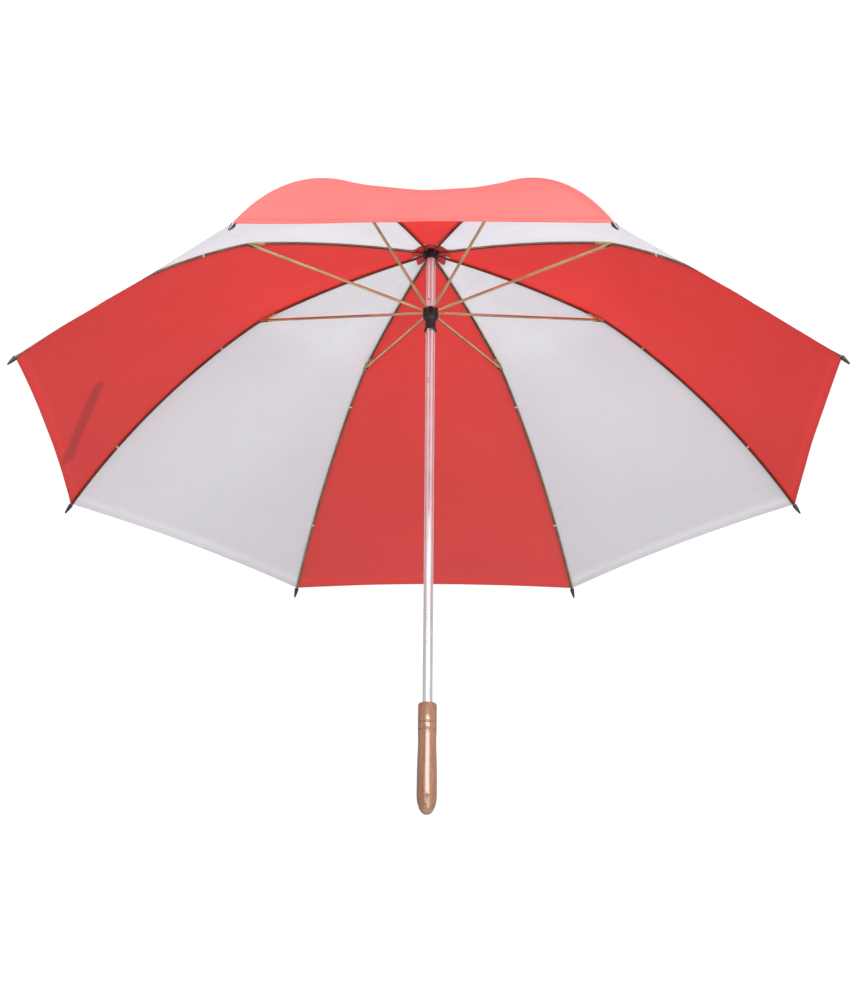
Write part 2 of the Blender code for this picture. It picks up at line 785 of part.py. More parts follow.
def ferrule_mesh():
    """Spike above the canopy, bored for the shaft's upper end."""
    outline = [
        (0, SHAFT_TOP + 2 * GAP),
        (SHAFT_FIT, SHAFT_TOP + 2 * GAP),
        (SHAFT_FIT, FERRULE_BASE),
        (10.5 * MM, FERRULE_BASE),
        (10.5 * MM, FERRULE_BASE + 3 * MM),
        (9.0 * MM, FERRULE_BASE + 5 * MM),
        (8.6 * MM, SHAFT_TOP + 4 * MM),
        (5.4 * MM, FERRULE_TIP - 5 * MM),
        (4.6 * MM, FERRULE_TIP),
        (0, FERRULE_TIP),
    ]
    return turned("ferrule", outline, HUB_SEGMENTS)


def crown_cap_mesh():
    """Domed washer that holds the canopy's crown down."""
    top = FERRULE_BASE - PIVOT_HEIGHT - 0.4 * MM
    outline = [
        (SHAFT_FIT, top),
        (11.0 * MM, top),
        (CAP_EDGE_RADIUS, top - CAP_DOME),
        (CAP_EDGE_RADIUS, top - CAP_DOME - CAP_RIM_THICKNESS),
        (SHAFT_FIT, top - CAP_THICKNESS),
    ]
    return turned("crown_cap", outline, HUB_SEGMENTS)


# ---------------------------------------------------------------- assembly


def build_fixed(looks):
    chrome, black, wood, red = looks["chrome"], looks["black"], looks["wood"], looks["red"]
    pivot = (0, 0, PIVOT_HEIGHT)
    place("shaft", shaft_mesh(), chrome)
    place("handle", handle_mesh(), wood)
    pin_ends = [(0, side * HANDLE_PIN_REACH, HANDLE_PIN_HEIGHT) for side in (-1, 1)]
    place("handle_pin", rod("handle_pin", HANDLE_PIN_RADIUS, *pin_ends), looks["dark_steel"])
    ends = [(side * STOP_PIN_REACH, 0, 0) for side in (-1, 1)]
    stop = rod("stop_pin", STOP_PIN_RADIUS, *ends)
    place("stop_pin", stop, looks["dark_steel"], (0, 0, STOP_PIN_HEIGHT), SPRING_AZIMUTH)
    place("notch", notch_mesh(), black, pivot)
    place("notch_wire", wire_ring_mesh(WIRE_RADIUS), looks["dark_steel"], pivot)
    place("inner_rosette", rosette_mesh(), red, pivot)
    place("crown_cap", crown_cap_mesh(), black, pivot)
    place("top_ferrule", ferrule_mesh(), black)


def build_springs(looks):
    for name, height, length, up, azimuth in (
        ("top_spring", TOP_SPRING_PIVOT, TOP_SPRING_LENGTH, True, SPRING_AZIMUTH),
        ("hand_spring", HAND_SPRING_PIVOT, HAND_SPRING_LENGTH, False, SPRING_AZIMUTH + math.pi),
    ):
        mesh = leaf_spring_mesh(length, up)
        spot = (
            SPRING_PIVOT_RADIUS * math.cos(azimuth),
            SPRING_PIVOT_RADIUS * math.sin(azimuth),
            height,
        )
        place(name, mesh, looks["dark_steel"], spot, azimuth)


def build_runner(looks):
    axis = empty("runner_axis", (0, 0, RUNNER_HEIGHT))
    place("runner", runner_mesh(), looks["black"], parent=axis)
    place("runner_wire", wire_ring_mesh(WIRE_RADIUS), looks["dark_steel"], parent=axis)


def build_ribs(looks):
    inner, outer = inner_rib_mesh(), outer_rib_mesh()
    stretcher, cup = stretcher_mesh(), tip_cup_mesh()
    for number in range(1, RIB_COUNT + 1):
        azimuth = rib_azimuth(number)
        away = Vector((math.cos(azimuth), math.sin(azimuth), 0))
        hub = away * PIVOT_RADIUS + Vector((0, 0, PIVOT_HEIGHT))
        knee = away * KNEE_RADIUS + Vector((0, 0, PIVOT_HEIGHT + KNEE_DROP))
        place(f"rib_inner_{number}", inner, looks["rib"], hub, azimuth)
        knee_axis = empty(f"knee_axis_{number}", knee, azimuth)
        place(f"rib_outer_{number}", outer, looks["rib"], parent=knee_axis)
        place(f"tip_cup_{number}", cup, looks["cup"], parent=knee_axis)
        place(f"stretcher_{number}", stretcher, looks["stretcher"], knee, azimuth)


def build_canopy(looks):
    panels = {"white": panel_mesh(), "red": panel_mesh()}
    for number in range(1, RIB_COUNT + 1):
        color = "red" if number % 2 == 0 else "white"
        azimuth = rib_azimuth(number) + HALF_GORE
        place(
            f"canopy_panel_{number}", panels[color], looks[color], (0, 0, PIVOT_HEIGHT), azimuth
        )
    strap_azimuth = rib_azimuth(4) + HALF_GORE
    place("closing_strap", strap_mesh(), looks["red"], (0, 0, PIVOT_HEIGHT), strap_azimuth)


def main():
    clear_scene()
    looks = {
        "chrome": material("chrome", (0.78, 0.77, 0.78), 0.18, 1.0),
        "black": material("black_plastic", (0.02, 0.018, 0.022), 0.4),
        "dark_steel": material("dark_steel", (0.16, 0.15, 0.15), 0.35, 1.0),
        "rib": material("rib_bronze", (0.20, 0.13, 0.08), 0.4, 1.0),
        "stretcher": material("stretcher_brass", (0.62, 0.42, 0.22), 0.35, 1.0),
        "cup": material("cup_black", (0.03, 0.03, 0.035), 0.35),
        "wood": material("varnished_wood", (0.58, 0.32, 0.15), 0.3),
        "red": material("red_fabric", (0.80, 0.09, 0.08), 0.8),
        "white": material("white_fabric", (0.80, 0.80, 0.82), 0.8),
    }
    build_fixed(looks)
    build_springs(looks)
    build_runner(looks)
    build_ribs(looks)
    build_canopy(looks)


main()
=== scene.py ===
import json
import math

import bmesh
import bpy
from mathutils import Matrix, Vector, noise


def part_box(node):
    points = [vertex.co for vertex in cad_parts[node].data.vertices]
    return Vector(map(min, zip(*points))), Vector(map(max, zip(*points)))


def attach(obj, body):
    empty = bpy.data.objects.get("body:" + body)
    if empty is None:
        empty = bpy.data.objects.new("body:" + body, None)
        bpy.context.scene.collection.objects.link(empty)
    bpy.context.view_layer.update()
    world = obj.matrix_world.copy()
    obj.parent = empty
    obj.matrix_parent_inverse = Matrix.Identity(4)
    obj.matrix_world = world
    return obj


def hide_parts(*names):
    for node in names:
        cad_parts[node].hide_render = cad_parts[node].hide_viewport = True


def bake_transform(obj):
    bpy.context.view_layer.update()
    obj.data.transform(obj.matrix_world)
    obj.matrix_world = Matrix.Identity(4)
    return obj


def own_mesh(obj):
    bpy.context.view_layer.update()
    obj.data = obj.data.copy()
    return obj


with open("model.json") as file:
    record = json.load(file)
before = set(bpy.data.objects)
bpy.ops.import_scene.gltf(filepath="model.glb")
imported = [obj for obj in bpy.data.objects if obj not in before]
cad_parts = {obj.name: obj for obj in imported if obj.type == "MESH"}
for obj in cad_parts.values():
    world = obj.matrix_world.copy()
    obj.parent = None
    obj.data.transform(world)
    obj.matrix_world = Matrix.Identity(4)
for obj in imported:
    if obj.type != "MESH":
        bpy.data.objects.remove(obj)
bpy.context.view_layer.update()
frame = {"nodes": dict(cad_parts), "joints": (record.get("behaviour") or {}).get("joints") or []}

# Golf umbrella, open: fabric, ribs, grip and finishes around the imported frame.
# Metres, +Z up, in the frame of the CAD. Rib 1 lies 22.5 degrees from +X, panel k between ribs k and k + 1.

nodes = frame["nodes"]
joints = {joint["name"]: joint for joint in frame["joints"]}

MM = 0.001

# ---------------------------------------------------------------- driving dimensions

RIB_COUNT = 8
GORE = 2 * math.pi / RIB_COUNT
HALF_GORE = GORE / 2
FOLD_JOINT = "canopy_fold"
FOLD_POINT = Vector(joints[FOLD_JOINT]["pos_m"])
PIVOT_HEIGHT = FOLD_POINT.z
PIVOT_RADIUS = FOLD_POINT.xy.length
KNEE_POINT = Vector(joints["rib_1_flex"]["pos_m"])
RUNNER_HEIGHT = joints["runner_pivot"]["pos_m"][2]

# A rib is two arcs that meet at the stretcher's pivot; here the bend between them is eased.
INNER_CHORD = (KNEE_POINT - FOLD_POINT).length
INNER_FALL = math.asin((PIVOT_HEIGHT - KNEE_POINT.z) / INNER_CHORD)
INNER_BEND = math.radians(11.6)
OUTER_CHORD = 0.4436
OUTER_FALL = math.radians(39.6)
OUTER_BEND = math.radians(27.0)
KNEE_EASE = 32 * MM

CUP_LENGTH = 17 * MM
CUP_RADIUS = 3.6 * MM
CUP_GAP = 0.6 * MM
RIB_WIDTH = 3.4 * MM
RIB_DEPTH = 3.0 * MM
STRETCHER_WIDTH = 3.8 * MM
STRETCHER_DEPTH = 3.2 * MM
CHANNEL_WALL = 0.6 * MM
TAB_HALF = 0.6 * MM
EYE_RADIUS = 1.0 * MM

FABRIC_OFFSET = 2.0 * MM
FABRIC_THICKNESS = 0.45 * MM
FOLDED_EXTRA = 0.45 * MM
SEAM_WIDTH = 4.5 * MM
HEM_WIDTH = 9 * MM
STITCH_HALF = 0.3 * MM
STITCH_PITCH = 3.2 * MM
STITCH_SHADE = 0.72
WEAVE_PITCH = 0.42 * MM
TIE_DISTANCES = (0.372, 0.605)
RIPPLE_BROAD = 3.2 * MM
RIPPLE_NARROW = 0.9 * MM
PULL_DEPTH = 0.8 * MM
PULL_REACH = 95 * MM
PULL_START = 25 * MM
PULL_FOLDS = 11
PANEL_SAG = 20 * MM
VALLEY_SOFTNESS = 0.3
# How far each panel's rim bows in between its ribs, panel 1 first.
RIM_SCALLOPS = [depth * MM for depth in (7, 7, 7, 8, 7, 2.5, 7, 4)]
CROWN_LIFT = 10.0 * MM
CROWN_FLAT = 15 * MM
CROWN_SPREAD = 25 * MM
CROWN_START = -2.3 * MM
CROWN_END = 30 * MM
INNER_TILT = math.radians(16)
OUTER_TILT = math.radians(21)
FOLD_LIFT = 3 * MM

SHARP = math.radians(38)
ROUND = 64
TINY_LENGTH = 0.001 * MM


def arc_length(chord, bend):
    return chord * (bend / 2) / math.sin(bend / 2)


INNER_LENGTH = arc_length(INNER_CHORD, INNER_BEND)
OUTER_LENGTH = arc_length(OUTER_CHORD, OUTER_BEND)
RIB_LENGTH = INNER_LENGTH + OUTER_LENGTH
FABRIC_LENGTH = RIB_LENGTH - CUP_LENGTH - CUP_GAP
SEAM_STITCHES = SEAM_WIDTH - 1 * MM
HEM_STITCHES = FABRIC_LENGTH - HEM_WIDTH + 1.2 * MM


def eased(share):
    """0 to 1 with a soft start and end."""
    return share * share * (3 - 2 * share)


def slope_at(distance):
    """How steeply a rib falls at a distance along it from the notch, with the knee's bend eased."""
    before = INNER_FALL - INNER_BEND / 2 + INNER_BEND * distance / INNER_LENGTH
    along = distance - INNER_LENGTH
    after = OUTER_FALL - OUTER_BEND / 2 + OUTER_BEND * along / OUTER_LENGTH
    share = min(max(0.5 + along / (2 * KNEE_EASE), 0.0), 1.0)
    return before + (after - before) * eased(share)


def rib_table(step=1 * MM):
    """(radius, height) along a rib's middle line at equal steps."""
    points = [(PIVOT_RADIUS, 0.0)]
    count = math.ceil(RIB_LENGTH / step) + 5
    for index in range(count):
        slope = slope_at((index + 0.5) * step)
        radius, height = points[-1]
        points.append((radius + step * math.cos(slope), height - step * math.sin(slope)))
    return points


RIB_STEP = 1 * MM
RIB_POINTS = rib_table(RIB_STEP)


def rib_point(distance):
    """(radius, height above the notch pivots, slope) of a rib's middle line, level before its pivot."""
    if distance < 0:
        return PIVOT_RADIUS + distance, 0.0, slope_at(0)
    place = distance / RIB_STEP
    index = min(int(place), len(RIB_POINTS) - 2)
    share = place - index
    (r0, z0), (r1, z1) = RIB_POINTS[index], RIB_POINTS[index + 1]
    return r0 + (r1 - r0) * share, z0 + (z1 - z0) * share, slope_at(distance)


RIM_RADIUS = rib_point(FABRIC_LENGTH)[0]


def azimuth_of(rib):
    return HALF_GORE + GORE * (rib - 1)


def direction(angle):
    return Vector((math.cos(angle), math.sin(angle), 0))


def rib_directions(rib):
    """Outwards along a rib, seen from above, and sideways from it, anticlockwise."""
    return direction(azimuth_of(rib)), direction(azimuth_of(rib) + math.pi / 2)


def along_rib(rib, distance, rise=0.0, side=0.0):
    """A point beside rib number rib: rise is square to the rib, outwards, and side is anticlockwise."""
    radius, height, slope = rib_point(distance)
    away, sideways = rib_directions(rib)
    point = away * (radius + rise * math.sin(slope)) + sideways * side
    point.z = PIVOT_HEIGHT + height + rise * math.cos(slope)
    return point


# ---------------------------------------------------------------- mesh building


def new_object(name, mesh, look):
    mesh.materials.clear()
    mesh.materials.append(look)
    made = bpy.data.objects.new(name, mesh)
    bpy.context.scene.collection.objects.link(made)
    return made


def finished(name, work):
    """The mesh of a bmesh, which is freed."""
    mesh = bpy.data.meshes.new(name)
    work.to_mesh(mesh)
    work.free()
    return mesh


def smoothed(mesh):
    mesh.shade_smooth()
    mesh.set_sharp_from_angle(angle=SHARP)
    return mesh


def welded(mesh):
    """The mesh with the ring that it starts and ends on made one."""
    work = bmesh.new()
    work.from_mesh(mesh)
    bmesh.ops.remove_doubles(work, verts=work.verts, dist=TINY_LENGTH)
    bmesh.ops.recalc_face_normals(work, faces=work.faces)
    work.to_mesh(mesh)
    work.free()
    return mesh


def ring_points(radius, height, count=72):
    angles = [2 * math.pi * index / count for index in range(count)]
    return [(radius * math.cos(a), radius * math.sin(a), height) for a in angles]


def skin(name, rings, capped=True):
    """A skin over closed rings of equally many points, with a UV map in metres round and along the rings."""
    work = bmesh.new()
    layer = work.loops.layers.uv.new("cloth")
    rows = [[work.verts.new(point) for point in ring] for ring in rings]
    size = len(rows[0])
    around = [0.0]
    middle = rings[len(rings) // 2]
    for index in range(size):
        step = (Vector(middle[(index + 1) % size]) - Vector(middle[index])).length
        around.append(around[-1] + step)
    along = [0.0]
    for ring, following in zip(rings, rings[1:]):
        along.append(along[-1] + (Vector(following[0]) - Vector(ring[0])).length)
    for level, (row, following) in enumerate(zip(rows, rows[1:])):
        for index in range(size):
            beside = (index + 1) % size
            face = work.faces.new((row[index], row[beside], following[beside], following[index]))
            spots = ((index, level), (index + 1, level), (index + 1, level + 1), (index, level + 1))
            for loop, (column, height) in zip(face.loops, spots):
                loop[layer].uv = (around[column], along[height])
    if capped:
        work.faces.new(rows[0])
        work.faces.new(rows[-1])
    bmesh.ops.recalc_face_normals(work, faces=work.faces)
    return smoothed(finished(name, work))


def turned(name, outline, segments=ROUND):
    """Solid or ring of revolution about Z. The outline is closed when its ends are off the axis."""
    tiny = 0.02 * MM
    rings = [ring_points(max(radius, tiny), height, segments) for radius, height in outline]
    if outline[0][0] > 0 and outline[-1][0] > 0:
        return welded(skin(name, rings + rings[:1], capped=False))
    return skin(name, rings)


def rounded(outline, radius, steps=4):
    """The outline with each corner that has room replaced by a short arc-like curve."""
    points = []
    count = len(outline)
    for index, corner in enumerate(outline):
        here = Vector(corner)
        before = Vector(outline[index - 1])
        after = Vector(outline[(index + 1) % count])
        if index in (0, count - 1) and here.x == 0:
            points.append(tuple(here))
            continue
        reach = min(radius, (before - here).length / 2.2, (after - here).length / 2.2)
        start = here + (before - here).normalized() * reach
        end = here + (after - here).normalized() * reach
        for step in range(steps + 1):
            share = step / steps
            first = start.lerp(here, share)
            second = here.lerp(end, share)
            points.append(tuple(first.lerp(second, share)))
    return points


def tube(name, points, radius, segments=12, closed=False):
    """A round bar or ring through points."""
    line = [Vector(point) for point in points]
    count = len(line)
    rings = []
    normal = None
    for index, point in enumerate(line):
        if closed:
            ahead = line[(index + 1) % count] - line[index - 1]
        else:
            ahead = line[min(index + 1, count - 1)] - line[max(index - 1, 0)]
        ahead.normalize()
        if normal is None:
            normal = ahead.orthogonal().normalized()
        normal = (normal - ahead * normal.dot(ahead)).normalized()
        side = ahead.cross(normal)
        ring = []
        for step in range(segments):
            angle = 2 * math.pi * step / segments
            ring.append(point + (normal * math.cos(angle) + side * math.sin(angle)) * radius)
        rings.append(ring)
    if closed:
        return welded(skin(name, rings + rings[:1], capped=False))
    return skin(name, rings)


def joined(name, meshes):
    """Several meshes as one, each still a closed body."""
    work = bmesh.new()
    for mesh in meshes:
        work.from_mesh(mesh)
    return smoothed(finished(name, work))


# ---------------------------------------------------------------- materials


def add(tree, kind, inputs=None, **settings):
    """One shader node; an input is a value, or the output that feeds it."""
    node = tree.nodes.new(kind)
    for key, value in settings.items():
        setattr(node, key, value)
    for key, value in (inputs or {}).items():
        if isinstance(value, bpy.types.NodeSocket):
            tree.links.new(value, node.inputs[key])
        else:
            node.inputs[key].default_value = value
    return node


def new_material(name, roughness=0.5, **settings):
    """A material with its Principled shader; settings name the shader's sockets."""
    made = bpy.data.materials.new(name)
    made.use_nodes = True
    shader = made.node_tree.nodes["Principled BSDF"]
    shader.inputs["Roughness"].default_value = roughness
    for key, value in settings.items():
        shader.inputs[key.replace("_", " ")].default_value = value
    return made, made.node_tree, shader


def ramp(tree, factor, stops):
    """A colour ramp from (place, colour) stops."""
    node = add(tree, "ShaderNodeValToRGB", {"Fac": factor})
    elements = node.color_ramp.elements
    while len(elements) < len(stops):
        elements.new(0.5)
    for element, (place, color) in zip(elements, stops):
        element.position = place
        element.color = (*color, 1.0)
    return node.outputs["Color"]


def scaled(tree, source, scale):
    return add(tree, "ShaderNodeMapping", {"Vector": source, "Scale": scale}).outputs["Vector"]


def noise_of(tree, vector, scale, detail=3.0, roughness=0.5):
    inputs = {"Vector": vector, "Scale": scale, "Detail": detail, "Roughness": roughness}
    return add(tree, "ShaderNodeTexNoise", inputs).outputs["Fac"]


def math_of(tree, operation, first, second=0.0):
    node = add(tree, "ShaderNodeMath", {0: first, 1: second}, operation=operation)
    return node.outputs[0]


def weighted(tree, first, second):
    """The sum of two (output, weight) pairs."""
    return math_of(tree, "ADD", *(math_of(tree, "MULTIPLY", *pair) for pair in (first, second)))


def spread(tree, value, low, high, start=0.3, end=0.7):
    """value from start to end, mapped to low to high."""
    inputs = {"Value": value, "From Min": start, "From Max": end, "To Min": low, "To Max": high}
    return add(tree, "ShaderNodeMapRange", inputs).outputs["Result"]


def bump(tree, height, strength, distance):
    inputs = {"Height": height, "Strength": strength, "Distance": distance}
    return add(tree, "ShaderNodeBump", inputs).outputs["Normal"]


def mixed(tree, factor, first, second, blend_type="MIX"):
    """Two colours mixed, or with MULTIPLY one darkened by the other."""
    inputs = {"Factor": factor, 6: first, 7: second}
    return add(tree, "ShaderNodeMix", inputs, data_type="RGBA", blend_type=blend_type).outputs[2]


def dress(tree, shader, color, roughness, normal):
    """Feeds a Principled shader with the outputs that vary over the surface."""
    tree.links.new(color, shader.inputs["Base Color"])
    tree.links.new(roughness, shader.inputs["Roughness"])
    tree.links.new(normal, shader.inputs["Normal"])


def positions(tree):
    return add(tree, "ShaderNodeTexCoord").outputs["Object"]


def cloth_uv(tree):
    return add(tree, "ShaderNodeUVMap", uv_map="cloth").outputs["UV"]


def stitches(tree, uv):
    """1 on the threads that sew the seam beside each rib and the hem along the rim."""
    parts = add(tree, "ShaderNodeSeparateXYZ", {"Vector": uv})
    lines = []
    for beside, along, place in (("X", "Y", SEAM_STITCHES), ("Y", "X", HEM_STITCHES)):
        away = math_of(tree, "ABSOLUTE", math_of(tree, "SUBTRACT", parts.outputs[beside], place))
        near = math_of(tree, "LESS_THAN", away, STITCH_HALF)
        turns = math_of(tree, "MULTIPLY", parts.outputs[along], 2 * math.pi / STITCH_PITCH)
        dash = math_of(tree, "GREATER_THAN", math_of(tree, "SINE", turns), -0.45)
        lines.append(math_of(tree, "MULTIPLY", near, dash))
    return math_of(tree, "MAXIMUM", *lines)


def fabric(name, light, dark, glow, glow_share):
    """Woven nylon: fine weave, soft fold marks, slightly uneven dye, and light that comes through."""
    made, tree, shader = new_material(
        name, 0.62, Sheen_Weight=0.25, Sheen_Roughness=0.4, Specular_IOR_Level=0.3
    )
    place = positions(tree)
    uv = cloth_uv(tree)
    cloudy = noise_of(tree, place, 5.0, 4.0, 0.6)
    shader.inputs["Sheen Tint"].default_value = (*light, 1.0)
    mottled = ramp(tree, cloudy, [(0.3, dark), (0.7, light)])
    parts = add(tree, "ShaderNodeSeparateXYZ", {"Vector": uv})
    threads = []
    for axis in ("X", "Y"):
        turns = math_of(tree, "MULTIPLY", parts.outputs[axis], 2 * math.pi / WEAVE_PITCH)
        threads.append(math_of(tree, "SINE", turns))
    weave = math_of(tree, "MULTIPLY", threads[0], threads[1])
    slub = noise_of(tree, scaled(tree, uv, (900, 30, 1)), 1.0, 2.0)
    slub_across = noise_of(tree, scaled(tree, uv, (30, 900, 1)), 1.0, 2.0)
    yarn = math_of(tree, "ADD", slub, slub_across)
    creases = noise_of(tree, scaled(tree, uv, (14, 4, 1)), 1.0, 5.0, 0.62)
    sewn = stitches(tree, uv)
    woven = math_of(tree, "ADD", math_of(tree, "MULTIPLY", weave, 0.5), yarn)
    fine = bump(tree, math_of(tree, "ADD", woven, math_of(tree, "MULTIPLY", sewn, 3.0)), 0.10, 0.1 * MM)
    folds = {"Height": creases, "Strength": 0.35, "Distance": 4 * MM, "Normal": fine}
    soft = add(tree, "ShaderNodeBump", folds).outputs["Normal"]
    tinted = mixed(tree, 1.0, mottled, spread(tree, yarn, 0.94, 1.03, 0.7, 1.3), "MULTIPLY")
    thread = tuple(value * STITCH_SHADE for value in light)
    coloured = mixed(tree, sewn, tinted, (*thread, 1.0))
    dress(tree, shader, coloured, spread(tree, cloudy, 0.55, 0.72), soft)
    through = add(tree, "ShaderNodeBsdfTranslucent", {"Color": (*glow, 1.0)})
    blend = add(tree, "ShaderNodeMixShader", {0: glow_share, 1: shader.outputs[0], 2: through.outputs[0]})
    output = tree.nodes["Material Output"]
    tree.links.new(blend.outputs[0], output.inputs["Surface"])
    return made


def chrome():
    """Bright plated tube with fine polishing marks along it and faint handling haze."""
    made, tree, shader = new_material("bright_plating", 0.3, Metallic=0.86)
    place = positions(tree)
    marks = noise_of(tree, scaled(tree, place, (2400, 2400, 12)), 1.0, 2.0)
    haze = noise_of(tree, place, 22.0, 4.0)
    shade = ramp(tree, haze, [(0.3, (0.86, 0.86, 0.88)), (0.7, (0.93, 0.93, 0.94))])
    uneven = weighted(tree, (marks, 0.12), (haze, 0.60))
    dress(tree, shader, shade, uneven, bump(tree, marks, 0.02, 0.03 * MM))
    return made


def plated_steel(name, bright, tarnished, low, high):
    """Rolled steel channel with a coloured plating: draw marks along it and patches of tarnish."""
    made, tree, shader = new_material(name, 0.35, Metallic=1.0)
    uv = cloth_uv(tree)
    place = positions(tree)
    drawn = noise_of(tree, scaled(tree, uv, (2600, 40, 1)), 1.0, 3.0)
    patches = noise_of(tree, place, 30.0, 5.0, 0.62)
    amount = weighted(tree, (drawn, 0.4), (patches, 0.6))
    shade = ramp(tree, amount, [(0.35, tarnished), (0.62, bright)])
    dress(tree, shader, shade, spread(tree, amount, high, low), bump(tree, drawn, 0.2, 0.05 * MM))
    return made


def dark_steel():
    """Blackened spring steel, rubbed brighter in places."""
    made, tree, shader = new_material("blackened_steel", 0.4, Metallic=1.0)
    place = positions(tree)
    rubbed = noise_of(tree, place, 160.0, 4.0, 0.6)
    shade = ramp(tree, rubbed, [(0.4, (0.16, 0.15, 0.15)), (0.68, (0.42, 0.40, 0.38))])
    dress(tree, shader, shade, spread(tree, rubbed, 0.48, 0.28), bump(tree, rubbed, 0.15, 0.1 * MM))
    return made


def moulded_black(name, base, low, high):
    """Moulded plastic with a faint grain, greyer where hands and edges have rubbed it."""
    made, tree, shader = new_material(name, 0.4, Specular_IOR_Level=0.45)
    place = positions(tree)
    grain = noise_of(tree, place, 1800.0, 2.0)
    wear = noise_of(tree, place, 90.0, 5.0, 0.6)
    worn = tuple(value * 2.4 + 0.012 for value in base)
    shade = ramp(tree, wear, [(0.45, base), (0.75, worn)])
    dress(tree, shader, shade, spread(tree, wear, low, high), bump(tree, grain, 0.12, 0.1 * MM))
    return made


def varnished_wood():
    """Honey-coloured wood with grain along the grip, fine pores, and a clear varnish."""
    coat = {"Coat_Weight": 0.75, "Coat_Roughness": 0.10, "Coat_IOR": 1.8}
    made, tree, shader = new_material("varnished_wood", 0.42, **coat)
    place = positions(tree)
    slow = scaled(tree, place, (20, 20, 5))
    wander = add(tree, "ShaderNodeTexNoise", {"Vector": slow, "Scale": 1.0, "Detail": 3.0})
    inputs = {"Factor": 0.006, 4: place, 5: wander.outputs["Color"]}
    bent = add(tree, "ShaderNodeMix", inputs, data_type="VECTOR").outputs[1]
    broad = noise_of(tree, scaled(tree, bent, (150, 150, 7)), 1.0, 4.0, 0.55)
    pores = noise_of(tree, scaled(tree, bent, (1100, 1100, 26)), 1.0, 2.0, 0.5)
    honey = ramp(
        tree,
        broad,
        [
            (0.30, (0.225, 0.088, 0.038)),
            (0.45, (0.315, 0.136, 0.064)),
            (0.56, (0.385, 0.180, 0.087)),
            (0.72, (0.445, 0.220, 0.112)),
        ],
    )
    streaks = spread(tree, pores, 0.72, 1.05, 0.38, 0.52)
    shade = mixed(tree, 1.0, honey, streaks, "MULTIPLY")
    dress(tree, shader, shade, spread(tree, pores, 0.5, 0.34), bump(tree, pores, 0.12, 0.15 * MM))
    return made


def sewing_thread():
    """Pale twisted thread."""
    made, tree, shader = new_material("sewing_thread", 0.75, Sheen_Weight=0.3)
    place = positions(tree)
    fluff = noise_of(tree, place, 2500.0, 2.0)
    pale = ramp(tree, fluff, [(0.3, (0.62, 0.58, 0.52)), (0.7, (0.86, 0.83, 0.78))])
    tree.links.new(pale, shader.inputs["Base Color"])
    tree.links.new(bump(tree, fluff, 0.3, 0.2 * MM), shader.inputs["Normal"])
    return made


def floor_paper():
    """Pale, nearly even studio floor."""
    made, tree, shader = new_material("studio_floor", 0.9)
    cloudy = noise_of(tree, positions(tree), 0.4, 2.0)
    even = ramp(tree, cloudy, [(0.3, (0.80, 0.80, 0.80)), (0.7, (0.84, 0.84, 0.84))])
    tree.links.new(even, shader.inputs["Base Color"])
    return made


LOOKS = {
    "red": fabric("red_nylon", (0.82, 0.114, 0.104), (0.76, 0.102, 0.094), (0.87, 0.150, 0.136), 0.40),
    "white": fabric("white_nylon", (0.83, 0.835, 0.845), (0.79, 0.795, 0.81), (0.88, 0.89, 0.92), 0.38),
    # The strap is the panels' red nylon in darker colours, a painted shade, and lets little light through, so
    # the panel under it shows a dark band.
    "band": fabric("red_nylon_painted_dark", (0.62, 0.080, 0.076), (0.54, 0.066, 0.064), (0.40, 0.05, 0.05), 0.06),
    "chrome": chrome(),
    "rib": plated_steel("bronzed_channel", (0.44, 0.30, 0.19), (0.23, 0.15, 0.10), 0.32, 0.5),
    "stretcher": plated_steel("brass_channel", (0.76, 0.58, 0.33), (0.44, 0.34, 0.18), 0.26, 0.45),
    "dark_steel": dark_steel(),
    "hub": moulded_black("hub_moulding", (0.012, 0.010, 0.013), 0.30, 0.5),
    "cup": moulded_black("cup_moulding", (0.018, 0.017, 0.021), 0.28, 0.45),
    "wood": varnished_wood(),
    "thread": sewing_thread(),
}


def shown(name, mesh, look):
    """An object with the material and slot of a look."""
    made = new_object(name, mesh, LOOKS[look])
    return made


def piece(name, mesh, look, body, stands_for=()):
    """A finished piece that rides one body."""
    made = shown(name, mesh, look)
    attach(made, body)
    if stands_for:
        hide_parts(*stands_for)
    return made


# ---------------------------------------------------------------- canopy


def ripple(panel, across, distance):
    """Slack of the cloth between its ribs: soft waves that die out at the ribs and at the crown."""
    share = distance / FABRIC_LENGTH
    held = (1 - across * across) * min(1.0, 3 * share)
    spot = Vector((across * 1.1 + 7.3 * panel, share * 2.6, 0.37 * panel))
    broad = RIPPLE_BROAD * noise.noise(spot)
    fold = Vector((across * 4.2 + 3.1 * panel, share * 1.7, 1.9 * panel))
    narrow = RIPPLE_NARROW * noise.noise(fold)
    return held * (broad + narrow)


def pull_lines(across, distance):
    """Short creases that fan out from the two tips, where the cloth is pulled tight."""
    depth = 0.0
    for corner in (-1, 1):
        beside = abs(corner - across) * RIM_RADIUS * math.sin(HALF_GORE)
        before = FABRIC_LENGTH - distance
        reach = math.hypot(beside, before)
        angle = math.atan2(beside, before + TINY_LENGTH)
        fade = math.exp(-((reach / PULL_REACH) ** 2)) * min(1.0, reach / PULL_START)
        depth += PULL_DEPTH * fade * math.sin(angle) ** 2 * math.sin(PULL_FOLDS * angle)
    return depth


def valley(across):
    """How deep a panel hangs between its ribs: 0 at a rib, 1 in the middle, a soft-bottomed V."""
    rim = math.hypot(1, VALLEY_SOFTNESS)
    return (rim - math.hypot(across, VALLEY_SOFTNESS)) / (rim - VALLEY_SOFTNESS)


